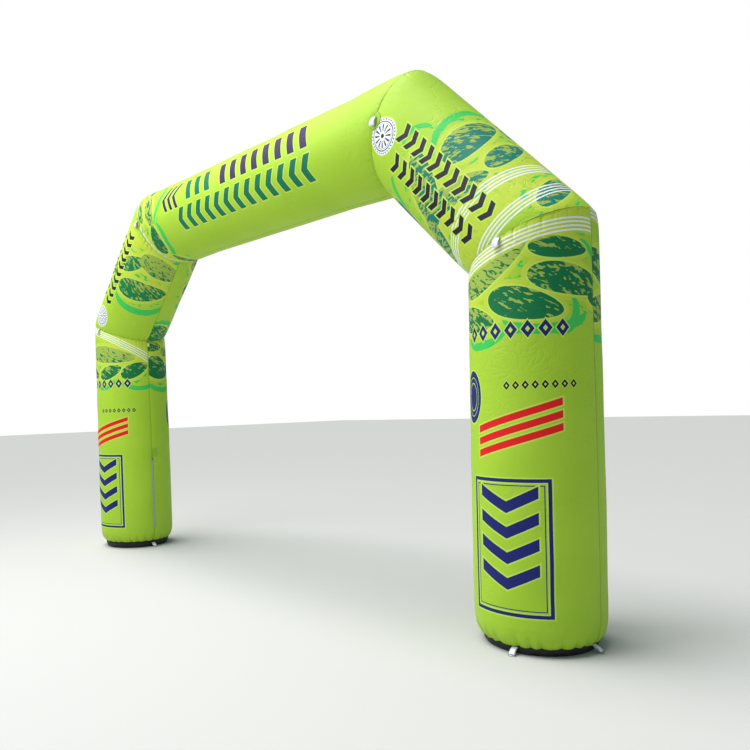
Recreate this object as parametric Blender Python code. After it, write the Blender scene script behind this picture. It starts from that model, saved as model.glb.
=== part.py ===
"""Inflatable entrance arch: a mitred air tube on two gathered feet, with its zips, ties and rings.

Metres, +Z up. The origin is on the ground, midway between the legs. The arch spans X and faces -Y.
"""

import math
from collections import namedtuple

import bmesh
import bpy
from mathutils import Vector

# Driving dimensions
TUBE_RADIUS = 0.400
LEG_SPACING = 5.300  # between the axes of the legs
BEAM_SPAN = 3.370  # between the upper corners, along the beam's axis
KNEE_HEIGHT = 2.525  # where the axes of leg and shoulder meet
BEAM_HEIGHT = 3.530  # of the beam's axis
GAP = 0.0003  # between pieces that touch

# The seams pull the tube in: the mitres across it, and the lines along its outer and inner sides
MITRE_DRAW = 0.011
MITRE_REACH = 0.050
LINE_DRAW = 0.004
LINE_REACH = 0.012

# Where a mitred section is measured: distances from the seam at each end, and shares of its length
SEAM_STATIONS = (0.0, 0.02, 0.06, 0.13)
SHOULDER_MIDDLE = (0.5,)
BEAM_MIDDLE = (0.2, 0.5, 0.8)
KNEE_STATIONS = (0.24, 0.08, 0.025, 0.0)

# Angles round half a tube, in degrees from its outer line to its inner one
LINE_COLUMNS = (0.0, 1.5, 4.0)
PLAIN_STEP = 9.0
LEG_STEP = 4.5

# Each foot is gathered onto its ground panel
HEM_UNDERSIDE = (0.0523, 0.352)  # height and radius
GATHER_DEPTH = 0.012
HEM_SCALLOP = 0.009
LegRow = namedtuple("LegRow", "height radius gather")
LEG_ROWS = (
    LegRow(0.044, 0.367, 1.00),
    LegRow(0.062, 0.377, 0.92),
    LegRow(0.088, 0.386, 0.62),
    LegRow(0.120, 0.393, 0.30),
    LegRow(0.165, 0.399, 0.10),
    LegRow(0.240, 0.404, 0.00),
    LegRow(0.500, 0.407, 0.00),
    LegRow(1.200, 0.406, 0.00),
    LegRow(1.850, 0.402, 0.00),
)
# Degrees taken by each puff between two gathers, from the outer line round to the inner one
PUFFS = {
    "left_front": (22.5, 18.0, 27.0, 22.5, 31.5, 18.0, 22.5, 18.0),
    "left_back": (18.0, 27.0, 22.5, 18.0, 27.0, 22.5, 18.0, 27.0),
    "right_front": (27.0, 18.0, 22.5, 18.0, 31.5, 22.5, 13.5, 27.0),
    "right_back": (18.0, 22.5, 31.5, 18.0, 22.5, 27.0, 22.5, 18.0),
}

# Black ground panels: height and radius of each turn, from the ground up
BASE_TURNS = ((0.0, 0.338), (0.010, 0.350), (0.026, 0.357), (0.043, 0.357), (0.052, 0.350))
BASE_SIDES = 48

# Webbing tabs. The eye is what lies open inside the fold
Tab = namedtuple("Tab", "width length depth thickness neck")
TIE_TAB = Tab(0.044, 0.062, 0.020, 0.003, 0.016)
SMALL_TAB = Tab(0.022, 0.034, 0.014, 0.0025, 0.010)
GROUND_TAB = Tab(0.036, 0.060, 0.014, 0.0025, 0.030)
TAB_STATIONS = (0.0, 0.30, 0.55, 0.80, 0.95, 1.0)  # shares of the length at which a fold is measured
FOLD_OPEN_AT = 0.62  # share of the length at which the two layers are furthest apart
FOLD_CLOSE_FROM = 0.55  # share of the length from which the fold rounds off
FOLD_TIP = 0.25  # how much of its depth the fold keeps at the very tip
LEAST_EYE = 0.0006  # half of the narrowest opening between the layers
TIE_LEAN = 9.0  # degrees by which a tie tab leans out from the seam
TIE_STAND_OFF = 0.0055  # from the drawn-in seam
CORNER_TIE_RISE = 0.020  # of the upper ties above the tube's axis
TAB_BELOW_KNEE = 0.030
TAB_STAND_OFF = 0.002
GROUND_LEAN = 50.0
GROUND_TAB_TOP = (0.3575, 0.0415)  # radius from the axis of the leg, and height
# Degrees round the leg from the front, towards the outer line
GroundTab = namedtuple("GroundTab", "name side degrees")
GROUND_TABS = (
    GroundTab("right_front", 1, 6.0),
    GroundTab("right_outer", 1, 90.0),
    GroundTab("right_inner", 1, -90.0),
    GroundTab("left_outer", -1, 90.0),
    GroundTab("left_inner", -1, -90.0),
)

RING_WIRE = 0.0048
RING_WIDTH = 0.046  # between the wire's centres
RING_DEPTH = 0.024
RING_STEPS = 14
RING_SIDES = 6
RING_DROOP = 25.0  # degrees below level
RING_BOW = 0.8  # below 1, the bow is squarer than half a circle
RING_PLAY = 0.0052  # between the ring's bar and the fold it hangs in

ZIP_FOOT = 0.225
ZIP_TOP = 1.005
ZIP_STATIONS = 7
# Half of the zip's section: distance from its middle, and how far it stands out
ZIP_SECTION = ((0.0115, 0.0), (0.0115, 0.0016), (0.0042, 0.0018), (0.0026, 0.0040))
SLIDER_HEIGHT = 1.018
SLIDER_SIZE = Vector((0.006, 0.013, 0.020))
SLIDER_LIFT = 0.0005  # off the coil
PULL_SIZE = Vector((0.0025, 0.008, 0.034))
PULL_SINK = 0.0005  # into the slider
PULL_TOP = 0.002  # above the middle of the slider
BLOCK_BEVEL = 0.22  # of a block's smallest side

PATCH_RADIUS = 0.060
PATCH_THICKNESS = 0.0020
PATCH_SIDES = 24
PATCH_CLEARANCE = 0.0008
ZIP_PATCH_WIDTH = 0.064
ZIP_PATCH_FOOT = 1.035
ZIP_PATCH_TOP = 1.135
ZIP_PATCH_OFFSET = 0.006  # from the seam
ZIP_PATCH_COLUMNS = 5
SEAM_SLACK = 0.001  # past a mitre seam, still counted as its section
SMOOTH_BELOW = 35.0  # degrees between two faces

LEG_X = LEG_SPACING / 2
CORNER_X = BEAM_SPAN / 2
UP = Vector((0, 0, 1))
FRONT = Vector((0, -1, 0))
SIDES = {"left": -1, "right": 1}
FACES = {"front": 1, "back": -1}

Finish = namedtuple("Finish", "color roughness metallic")
FINISHES = {
    "printed_cloth": Finish((0.36, 0.62, 0.05), 0.55, 0.0),
    "ground_cloth": Finish((0.006, 0.006, 0.007), 0.60, 0.0),
    "webbing": Finish((0.80, 0.80, 0.84), 0.75, 0.0),
    "zip_tape": Finish((0.42, 0.47, 0.46), 0.60, 0.0),
    "zip_metal": Finish((0.25, 0.26, 0.27), 0.35, 1.0),
    "ring_steel": Finish((0.42, 0.42, 0.44), 0.30, 1.0),
}


def clear_scene():
    for obj in list(bpy.data.objects):
        bpy.data.objects.remove(obj, do_unlink=True)


def make_material(name):
    finish = FINISHES[name]
    material = bpy.data.materials.new(name)
    material.use_nodes = True
    shader = material.node_tree.nodes["Principled BSDF"]
    shader.inputs["Base Color"].default_value = (*finish.color, 1.0)
    shader.inputs["Roughness"].default_value = finish.roughness
    shader.inputs["Metallic"].default_value = finish.metallic
    return material


def finish_object(name, mesh_data, finish):
    """Makes an object of a closed bmesh, with its faces turned outwards."""
    bmesh.ops.recalc_face_normals(mesh_data, faces=mesh_data.faces)
    mesh = bpy.data.meshes.new(name)
    mesh_data.to_mesh(mesh)
    mesh_data.free()
    mesh.shade_smooth()
    mesh.set_sharp_from_angle(angle=math.radians(SMOOTH_BELOW))
    obj = bpy.data.objects.new(name, mesh)
    bpy.context.scene.collection.objects.link(obj)
    obj.data.materials.append(bpy.data.materials[finish])
    return obj


def loft(rings):
    """A closed solid through rings with the same number of points, capped at both ends."""
    mesh_data = bmesh.new()
    loops = [[mesh_data.verts.new(point) for point in ring] for ring in rings]
    count = len(loops[0])
    for lower, upper in zip(loops, loops[1:]):
        for i in range(count):
            j = (i + 1) % count
            mesh_data.faces.new((lower[i], lower[j], upper[j], upper[i]))
    mesh_data.faces.new(list(reversed(loops[0])))
    mesh_data.faces.new(loops[-1])
    return mesh_data


class Section:
    """A straight stretch of the tube between two mitre planes."""

    def __init__(self, start, end, start_normal, end_normal, side):
        self.start = start
        self.length = (end - start).length
        self.along = (end - start) / self.length
        self.end = end
        self.start_normal = start_normal
        self.end_normal = end_normal
        self.outward = Vector((side * self.along.z, 0, -side * self.along.x))

    def reach(self, origin, normal, radius, cosine, clearance):
        """Distance along the axis at which the line at this angle of the tube meets a mitre plane."""
        slope = radius * cosine * self.outward.dot(normal)
        offset = (origin - self.start).dot(self.along)
        return offset + (clearance - slope) / self.along.dot(normal)

    def span(self, radius, cosine):
        first = self.reach(self.start, self.start_normal, radius, cosine, GAP / 2)
        last = self.reach(self.end, self.end_normal, radius, cosine, -GAP / 2)
        return first, last

    def point(self, distance, radius, angle, face):
        """A point on the tube: the angle runs from the outer line, round the given face."""
        across = self.outward * math.cos(angle) + FRONT * (face * math.sin(angle))
        return self.start + self.along * distance + across * radius + FRONT * (face * GAP / 2)


def make_sections():
    """The five stretches of the tube, from their axes."""
    foot = {side: Vector((side * LEG_X, 0, 0)) for side in (-1, 1)}
    knee = {side: Vector((side * LEG_X, 0, KNEE_HEIGHT)) for side in (-1, 1)}
    corner = {side: Vector((side * CORNER_X, 0, BEAM_HEIGHT)) for side in (-1, 1)}
    rise = {side: (corner[side] - knee[side]).normalized() for side in (-1, 1)}
    level = Vector((1, 0, 0))
    sections = {}
    for name, side in SIDES.items():
        knee_normal = (UP + rise[side]).normalized()
        corner_normal = (rise[side] - side * level).normalized()
        sections["leg_" + name] = Section(foot[side], knee[side], UP, knee_normal, side)
        sections["shoulder_" + name] = Section(
            knee[side], corner[side], knee_normal, corner_normal, side
        )
    sections["beam"] = Section(
        corner[-1],
        corner[1],
        (rise[-1] + level).normalized(),
        (level - rise[1]).normalized(),
        -1,
    )
    return sections


def draw_in(distance, depth, reach):
    return depth * math.exp(-distance / reach)


def line_draw(angle):
    nearest = min(angle, math.pi - angle) * TUBE_RADIUS
    return draw_in(nearest, LINE_DRAW, LINE_REACH)


def angles_of(step):
    """Angles of the columns of half a tube: close together beside its two sewn lines."""
    count = round(180 / step)
    middle = [i * step for i in range(1, count)]
    first = [angle for angle in LINE_COLUMNS if angle < step]
    last = [180 - angle for angle in reversed(first)]
    return [math.radians(angle) for angle in first + middle + last]


def mitred_panel(section, face, middle):
    """Half of a stretch of tube between two mitre seams."""
    full_angles = angles_of(PLAIN_STEP)
    shares = [distance / section.length for distance in SEAM_STATIONS]
    stations = shares + list(middle) + [1 - share for share in reversed(shares)]
    seam_radius = TUBE_RADIUS - MITRE_DRAW
    rings = []
    for station in stations:
        ring = []
        for angle in full_angles:
            first, last = section.span(seam_radius - line_draw(angle), math.cos(angle))
            run = last - first
            drawn = draw_in(station * run, MITRE_DRAW, MITRE_REACH)
            drawn += draw_in((1 - station) * run, MITRE_DRAW, MITRE_REACH)
            radius = TUBE_RADIUS - min(drawn, MITRE_DRAW) - line_draw(angle)
            ring.append(section.point(first + station * run, radius, angle, face))
        rings.append(ring)
    return loft(rings)


def puff(spans, angle):
    """How full the gathered hem is here: 0 in a gather, 1 in the middle of a puff."""
    start = 0.0
    degrees = math.degrees(angle)
    for span in spans:
        if degrees <= start + span + 0.01:
            share = min(max((degrees - start) / span, 0.0), 1.0)
            return math.sqrt(max(math.sin(math.pi * share), 0.0))
        start += span
    return 0.0


def leg_radius(height):
    """Radius of a leg at a height, clear of the gathers and the knee seam."""
    rows = LEG_ROWS
    for lower, upper in zip(rows, rows[1:]):
        if height <= upper.height:
            share = (height - lower.height) / (upper.height - lower.height)
            return lower.radius + share * (upper.radius - lower.radius)
    share = min((height - rows[-1].height) / (KNEE_HEIGHT - rows[-1].height), 1.0)
    return rows[-1].radius + share * (TUBE_RADIUS - rows[-1].radius)


def leg_panel(section, face, spans):
    """Half of a leg: gathered at its hem and mitred at the knee."""
    angles = angles_of(LEG_STEP)
    floor, inner = HEM_UNDERSIDE
    rings = [[section.point(floor, inner, angle, face) for angle in angles]]
    for row in LEG_ROWS:
        ring = []
        for angle in angles:
            pinch = row.gather * (1 - puff(spans, angle))
            radius = row.radius - GATHER_DEPTH * pinch - line_draw(angle) * (1 - row.gather)
            ring.append(section.point(row.height + HEM_SCALLOP * pinch, radius, angle, face))
        rings.append(ring)
    for distance in KNEE_STATIONS:
        ring = []
        for angle in angles:
            seam_radius = TUBE_RADIUS - MITRE_DRAW - line_draw(angle)
            last = section.span(seam_radius, math.cos(angle))[1]
            height = last - distance
            drawn = draw_in(distance, MITRE_DRAW, MITRE_REACH) + line_draw(angle)
            full_radius = leg_radius(height) if distance else TUBE_RADIUS
            ring.append(section.point(height, full_radius - drawn, angle, face))
        rings.append(ring)
    return loft(rings)


def turned(center, turns, sides):
    """A solid of revolution: rings of height and radius about a vertical axis."""
    rings = []
    for height, radius in turns:
        ring = []
        for i in range(sides):
            angle = 2 * math.pi * i / sides
            offset = Vector((math.cos(angle), math.sin(angle), 0)) * radius
            ring.append(center + offset + UP * height)
        rings.append(ring)
    return loft(rings)


def tab_outline(tab, inset):
    """Outline of a folded tab, seen along its width: (out, down) points from one side round to the other."""
    top = tab.neck if inset else 0.0
    length = tab.length - top - inset
    out_side = []
    for share in TAB_STATIONS:
        down = top + share * length
        opened = min(down / (FOLD_OPEN_AT * tab.length), 1.0)
        fullness = math.sin(math.pi / 2 * opened) ** 2
        depth = 2 * tab.thickness + (tab.depth - 2 * tab.thickness) * fullness
        closing = max((share - FOLD_CLOSE_FROM) / (1 - FOLD_CLOSE_FROM), 0.0)
        rounding = FOLD_TIP + (1 - FOLD_TIP) * math.sqrt(1 - closing**2)
        middle = depth / 2
        half = max(depth / 2 - inset, LEAST_EYE) * rounding
        out_side.append((middle, half, down))
    right = [Vector((middle + half, down)) for middle, half, down in out_side]
    left = [Vector((middle - half, down)) for middle, half, down in reversed(out_side)]
    return right + left


def tab_solid(tab, origin, out, down, width_axis):
    """A strap folded back on itself, with the eye of the fold left open."""
    mesh_data = bmesh.new()
    loops = []
    for offset in (-tab.width / 2, tab.width / 2):
        for inset in (0.0, tab.thickness):
            points = tab_outline(tab, inset)
            place = [origin + out * p.x + down * p.y + width_axis * offset for p in points]
            loops.append([mesh_data.verts.new(point) for point in place])
    outer_low, inner_low, outer_high, inner_high = loops
    count = len(outer_low)
    for i in range(count):
        j = (i + 1) % count
        mesh_data.faces.new((outer_low[i], outer_low[j], outer_high[j], outer_high[i]))
        mesh_data.faces.new((inner_low[j], inner_low[i], inner_high[i], inner_high[j]))
        mesh_data.faces.new((outer_low[j], outer_low[i], inner_low[i], inner_low[j]))
        mesh_data.faces.new((outer_high[i], outer_high[j], inner_high[j], inner_high[i]))
    return mesh_data


def leaning(out, down, degrees):
    """Turns a pair of out and down directions so that down leans outwards."""
    lean = math.radians(degrees)
    new_down = down * math.cos(lean) + out * math.sin(lean)
    new_out = out * math.cos(lean) - down * math.sin(lean)
    return new_out, new_down


def d_ring(bar_middle, width_axis, reach_axis):
    """A steel ring with a straight bar and a bowed front, swept as one closed wire."""
    normal = width_axis.cross(reach_axis).normalized()
    half = RING_WIDTH / 2
    path = []
    for i in range(RING_STEPS):
        angle = math.pi * i / (RING_STEPS - 1)
        bow = max(math.sin(angle), 0.0) ** RING_BOW
        path.append((half * math.cos(angle), RING_DEPTH * bow))
    path += [(-half / 3, 0.0), (half / 3, 0.0)]
    mesh_data = bmesh.new()
    loops = []
    count = len(path)
    for i, (x, y) in enumerate(path):
        before = Vector(path[i - 1])
        after = Vector(path[(i + 1) % count])
        tangent = (after - before).normalized()
        side = width_axis * tangent.y - reach_axis * tangent.x
        center = bar_middle + width_axis * x + reach_axis * y
        loop = []
        for k in range(RING_SIDES):
            turn = 2 * math.pi * k / RING_SIDES
            offset = side * math.cos(turn) + normal * math.sin(turn)
            loop.append(mesh_data.verts.new(center + offset * (RING_WIRE / 2)))
        loops.append(loop)
    for i in range(count):
        first, second = loops[i], loops[(i + 1) % count]
        for k in range(RING_SIDES):
            m = (k + 1) % RING_SIDES
            mesh_data.faces.new((first[k], first[m], second[m], second[k]))
    return mesh_data


def inner_line(side, height, stand_off):
    """A point on a leg's inner line."""
    return Vector((side * (LEG_X - leg_radius(height) - stand_off), 0, height))


def zip_solid(side):
    """Tape and coil, following the inner line of a leg."""
    section = list(ZIP_SECTION) + [(-across, out) for across, out in reversed(ZIP_SECTION)]
    rings = []
    for i in range(ZIP_STATIONS):
        height = ZIP_FOOT + (ZIP_TOP - ZIP_FOOT) * i / (ZIP_STATIONS - 1)
        middle = inner_line(side, height, PATCH_CLEARANCE)
        rings.append([middle + Vector((-side * out, across, 0)) for across, out in section])
    return loft(rings)


def block(center, size):
    """A box with its edges bevelled."""
    mesh_data = bmesh.new()
    bmesh.ops.create_cube(mesh_data, size=1.0)
    for vert in mesh_data.verts:
        vert.co = center + Vector(a * b for a, b in zip(vert.co, size))
    bmesh.ops.bevel(
        mesh_data,
        geom=list(mesh_data.edges),
        offset=min(size) * BLOCK_BEVEL,
        segments=1,
        affect="EDGES",
    )
    return mesh_data


def make_slider(name, side):
    """The slider sits on the coil, and its pull hangs from it down the zip."""
    coil_out = PATCH_CLEARANCE + max(out for _, out in ZIP_SECTION)
    body_middle = inner_line(side, SLIDER_HEIGHT, coil_out + SLIDER_LIFT + SLIDER_SIZE.x / 2)
    body = finish_object("zip_slider_" + name, block(body_middle, SLIDER_SIZE), "zip_metal")
    pull_drop = UP * (PULL_SIZE.z / 2 - PULL_TOP)
    pull_out = Vector((-side * (SLIDER_SIZE.x / 2 - PULL_SINK), 0, 0))
    pull_block = block(body_middle + pull_out - pull_drop, PULL_SIZE)
    pull = finish_object("pull_" + name, pull_block, "zip_metal")
    pull.hide_render = True
    pull.display_type = "WIRE"
    join = body.modifiers.new("pull", "BOOLEAN")
    join.operation = "UNION"
    join.solver = "EXACT"
    join.object = pull


def surface_depth(sections, x, z):
    """How far the tube's front stands from the middle plane, above a point of that plane."""
    best = 0.0
    for section in sections.values():
        offset = Vector((x, 0, z)) - section.start
        distance = offset.dot(section.along)
        cosine = offset.dot(section.outward) / TUBE_RADIUS
        if abs(cosine) >= 1:
            continue
        first, last = section.span(TUBE_RADIUS - MITRE_DRAW, cosine)
        inside = min(max(distance - first, 0.0), max(last - distance, 0.0))
        if distance < first - SEAM_SLACK or distance > last + SEAM_SLACK:
            continue
        radius = TUBE_RADIUS - draw_in(inside, MITRE_DRAW, MITRE_REACH)
        best = max(best, math.sqrt(radius**2 - (cosine * TUBE_RADIUS) ** 2))
    return best


def round_patch(sections, side, face):
    """A disc over an upper corner seam, lying on the tube."""
    center = Vector((side * CORNER_X, 0, BEAM_HEIGHT))
    mesh_data = bmesh.new()
    layers = []
    for stand_off in (PATCH_CLEARANCE, PATCH_CLEARANCE + PATCH_THICKNESS):
        rings = []
        for radius in (PATCH_RADIUS, PATCH_RADIUS / 2, 0.0):
            ring = []
            for i in range(PATCH_SIDES if radius else 1):
                angle = 2 * math.pi * i / PATCH_SIDES
                x = center.x + radius * math.cos(angle)
                z = center.z + radius * math.sin(angle)
                depth = surface_depth(sections, x, z) + stand_off
                ring.append(mesh_data.verts.new((x, -face * depth, z)))
            rings.append(ring)
        layers.append(rings)
    for outer, inner, tip in layers:
        for i in range(PATCH_SIDES):
            j = (i + 1) % PATCH_SIDES
            mesh_data.faces.new((outer[i], outer[j], inner[j], inner[i]))
            mesh_data.faces.new((inner[i], inner[j], tip[0]))
    for i in range(PATCH_SIDES):
        j = (i + 1) % PATCH_SIDES
        low, high = layers[0][0], layers[1][0]
        mesh_data.faces.new((low[i], low[j], high[j], high[i]))
    return mesh_data


def zip_patch(side):
    """A small rectangle on the back panel, beside the top of the zip."""
    columns = ZIP_PATCH_COLUMNS
    rings = []
    for height in (ZIP_PATCH_FOOT, (ZIP_PATCH_FOOT + ZIP_PATCH_TOP) / 2, ZIP_PATCH_TOP):
        ring = []
        for stand_off in (PATCH_CLEARANCE, PATCH_CLEARANCE + PATCH_THICKNESS):
            radius = leg_radius(height) + stand_off
            layer = []
            for i in range(columns):
                share = i / (columns - 1)
                angle = (ZIP_PATCH_OFFSET + ZIP_PATCH_WIDTH * share) / TUBE_RADIUS
                across = Vector((-side * math.cos(angle), math.sin(angle), 0)) * radius
                layer.append(Vector((side * LEG_X, 0, height)) + across)
            ring += layer if stand_off == PATCH_CLEARANCE else layer[::-1]
        rings.append(ring)
    return loft(rings)


def make_ties(sections):
    """Tie tabs on the knee and corner seams, front and back, and the patches under the upper ones."""
    down = -UP
    width_axis = Vector((1, 0, 0))
    for side_name, side in SIDES.items():
        for face_name, face in FACES.items():
            out = FRONT * face
            seam_depth = TUBE_RADIUS - MITRE_DRAW
            place = side_name + "_" + face_name
            lean_out, lean_down = leaning(out, down, TIE_LEAN)
            knee = Vector((side * LEG_X, 0, KNEE_HEIGHT)) + out * (seam_depth + TIE_STAND_OFF)
            tie = tab_solid(TIE_TAB, knee, lean_out, lean_down, width_axis)
            finish_object("tie_knee_" + place, tie, "webbing")
            over_patch = seam_depth + PATCH_CLEARANCE + PATCH_THICKNESS + TIE_STAND_OFF
            corner_height = BEAM_HEIGHT + CORNER_TIE_RISE
            corner = Vector((side * CORNER_X, 0, corner_height)) + out * over_patch
            tie = tab_solid(TIE_TAB, corner, lean_out, lean_down, width_axis)
            finish_object("tie_corner_" + place, tie, "webbing")
            patch = round_patch(sections, side, face)
            finish_object("patch_" + place, patch, "printed_cloth")


def make_small_tabs(sections):
    """Tabs on the inner lines just under the knees."""
    for name, side in SIDES.items():
        leg = sections["leg_" + name]
        seam_height = leg.span(TUBE_RADIUS - MITRE_DRAW - LINE_DRAW, -1.0)[1]
        inward = Vector((-side, 0, 0))
        top = inner_line(side, seam_height - TAB_BELOW_KNEE, TAB_STAND_OFF)
        solid = tab_solid(SMALL_TAB, top, inward, -UP, Vector((0, 1, 0)))
        finish_object("tab_" + name, solid, "webbing")


def make_ground_tabs():
    """Tabs out of the hem, each with its ring."""
    for name, side, degrees in GROUND_TABS:
        angle = math.radians(degrees)
        out = Vector((side * math.sin(angle), -math.cos(angle), 0))
        width_axis = UP.cross(out)
        radius, height = GROUND_TAB_TOP
        top = Vector((side * LEG_X, 0, height)) + out * radius
        lean_out, lean_down = leaning(out, -UP, GROUND_LEAN)
        tab = tab_solid(GROUND_TAB, top, lean_out, lean_down, width_axis)
        finish_object("ground_loop_" + name, tab, "webbing")
        eye = GROUND_TAB.length - GROUND_TAB.thickness - RING_WIRE / 2 - RING_PLAY
        bar = top + lean_down * eye + lean_out * (GROUND_TAB.depth / 2)
        droop = math.radians(RING_DROOP)
        reach_axis = out * math.cos(droop) - UP * math.sin(droop)
        finish_object("ring_" + name, d_ring(bar, width_axis, reach_axis), "ring_steel")


def make_arch():
    clear_scene()
    for name in FINISHES:
        make_material(name)
    sections = make_sections()
    for face_name, face in FACES.items():
        for side_name in SIDES:
            spans = PUFFS[side_name + "_" + face_name]
            leg = leg_panel(sections["leg_" + side_name], face, spans)
            finish_object(f"leg_{side_name}_{face_name}", leg, "printed_cloth")
            shoulder = mitred_panel(sections["shoulder_" + side_name], face, SHOULDER_MIDDLE)
            finish_object(f"shoulder_{side_name}_{face_name}", shoulder, "printed_cloth")
        beam = mitred_panel(sections["beam"], face, BEAM_MIDDLE)
        finish_object("beam_" + face_name, beam, "printed_cloth")
    for name, side in SIDES.items():
        base = turned(Vector((side * LEG_X, 0, 0)), BASE_TURNS, BASE_SIDES)
        finish_object("base_" + name, base, "ground_cloth")
        finish_object("zip_" + name, zip_solid(side), "zip_tape")
        finish_object("zip_patch_" + name, zip_patch(side), "printed_cloth")
        make_slider(name, side)
    make_ties(sections)
    make_small_tabs(sections)
    make_ground_tabs()


make_arch()
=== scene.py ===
import math

import bmesh
import bpy
import numpy as np
from mathutils import Matrix, Vector


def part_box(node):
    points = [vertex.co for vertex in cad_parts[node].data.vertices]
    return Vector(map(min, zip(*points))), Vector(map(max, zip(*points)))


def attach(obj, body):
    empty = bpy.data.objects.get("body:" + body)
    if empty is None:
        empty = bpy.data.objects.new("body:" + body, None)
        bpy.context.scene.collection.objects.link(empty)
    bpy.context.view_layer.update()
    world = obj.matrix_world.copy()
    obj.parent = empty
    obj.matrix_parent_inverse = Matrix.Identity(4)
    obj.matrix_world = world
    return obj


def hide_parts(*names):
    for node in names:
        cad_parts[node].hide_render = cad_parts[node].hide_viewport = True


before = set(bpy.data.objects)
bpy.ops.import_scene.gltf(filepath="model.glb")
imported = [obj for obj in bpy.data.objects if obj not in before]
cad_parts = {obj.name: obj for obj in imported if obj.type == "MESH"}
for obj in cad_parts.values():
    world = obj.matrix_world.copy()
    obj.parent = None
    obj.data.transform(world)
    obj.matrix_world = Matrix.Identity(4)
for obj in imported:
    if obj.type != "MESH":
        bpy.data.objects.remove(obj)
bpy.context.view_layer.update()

print("frame loaded:", len(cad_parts), "nodes")


def setAll(thing, settings):
    for name, value in settings.items():
        setattr(thing, name, value)


def addObject(name, data):
    made = bpy.data.objects.new(name, data)
    bpy.context.scene.collection.objects.link(made)
    return made


def srgb(red, green, blue):
    def linear(value):
        share = value / 255
        return share / 12.92 if share <= 0.04045 else ((share + 0.055) / 1.055) ** 2.4
    return (linear(red), linear(green), linear(blue), 1.0)


def operator(operation, reflected=False):
    # a method for Socket that adds one kind of Math node
    def worked(socket, *others):
        terms = (*others, socket) if reflected else (socket, *others)
        return socket.add("ShaderNodeMath", {"operation": operation}, dict(enumerate(terms)))
    return worked


class Socket:
    # an output socket that can be used in sums; each sum adds its Math node

    __add__, __radd__ = operator("ADD"), operator("ADD", True)
    __sub__, __rsub__ = operator("SUBTRACT"), operator("SUBTRACT", True)
    __mul__, __rmul__ = operator("MULTIPLY"), operator("MULTIPLY", True)
    __truediv__, __rtruediv__ = operator("DIVIDE"), operator("DIVIDE", True)
    __lt__, __gt__ = operator("LESS_THAN"), operator("GREATER_THAN")
    __or__, __and__ = operator("MAXIMUM"), operator("MINIMUM")
    __abs__, fraction, sine = operator("ABSOLUTE"), operator("FRACT"), operator("SINE")
    root, turnFrom = operator("SQRT"), operator("ARCTAN2")

    def __init__(self, tree, link=None):
        self.tree = tree
        self.link = link

    def add(self, kind, settings=None, values=None, output=0):
        node = self.tree.nodes.new(kind)
        setAll(node, settings or {})
        for name, value in (values or {}).items():
            if isinstance(value, Socket):
                self.tree.links.new(value.link, node.inputs[name])
            else:
                node.inputs[name].default_value = value
        return Socket(self.tree, node.outputs[output])

    def near(self, place, reach):
        return abs(self - place) < reach

    def dashed(self, pitch, share):
        return (self / pitch).fraction() < share

    def axes(self):
        return [self.add("ShaderNodeSeparateXYZ", None, {0: self}, i) for i in range(3)]

    def moved(self, center, turn, scale):
        values = {0: self, "Location": (*center, 0), "Rotation": (0, 0, turn), "Scale": (scale, scale, 1)}
        return self.add("ShaderNodeMapping", {"vector_type": "TEXTURE"}, values)

    def noise(self, scale, detail=2.0, stretch=(1, 1, 1), twist=0.0):
        place = self.add("ShaderNodeVectorMath", {"operation": "MULTIPLY"}, {0: self, 1: stretch})
        values = {"Vector": place, "Scale": scale, "Detail": detail, "Distortion": twist}
        return self.add("ShaderNodeTexNoise", None, values, "Fac")

    def ramp(self, low, high, start=0.0, end=1.0):
        values = {"Value": self, "From Min": low, "From Max": high, "To Min": start, "To Max": end}
        return self.add("ShaderNodeMapRange", {"clamp": True}, values)

    def painted(self, color, mask):
        return self.add("ShaderNodeMix", {"data_type": "RGBA"}, {0: mask, 6: self, 7: srgb(*color)}, 2)


class Finish:
    # a material with its Principled shader

    def __init__(self, name, settings):
        self.material = bpy.data.materials.new(name)
        self.material.use_nodes = True
        self.tree = self.material.node_tree
        self.shader = self.tree.nodes["Principled BSDF"]
        for socket, value in settings.items():
            self.shader.inputs[socket].default_value = value

    def attribute(self, name):
        return Socket(self.tree).add("ShaderNodeAttribute", {"attribute_name": name}, None, "Vector")

    def place(self):
        return Socket(self.tree).add("ShaderNodeTexCoord", None, None, "Object")

    def mixed(self, first, second, mask):
        socket = Socket(self.tree).add("ShaderNodeRGB")
        socket.link.default_value = srgb(*first)
        return socket.painted(second, mask)

    def finished(self, color, roughness, height=None, strength=0.6):
        links = {"Base Color": color, "Roughness": roughness}
        if height:
            bump = {"Strength": strength, "Distance": 1.0, "Height": height}
            links["Normal"] = height.add("ShaderNodeBump", None, bump)
        for name, socket in links.items():
            self.tree.links.new(socket.link, self.shader.inputs[name])
        return self.material


# The tube: five stretches between mitre seams, each a front half and a back half
baseLow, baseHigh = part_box("base_right")
arch = {  # metres
    "radius": 0.400,
    "legX": (baseLow.x + baseHigh.x) / 2,
    "kneeHeight": 2.525,
    "cornerX": 1.685,
    "beamHeight": 3.530,
    "gap": 0.0003,
    "mitreDraw": 0.011,
    "mitreReach": 0.050,
    "lineDraw": 0.004,
    "lineReach": 0.012,
}
seamRadius = arch["radius"] - arch["mitreDraw"]
up = Vector((0, 0, 1))
front = Vector((0, -1, 0))
sides = {"left": -1, "right": 1}
faces = {"front": 1, "back": -1}


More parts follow.
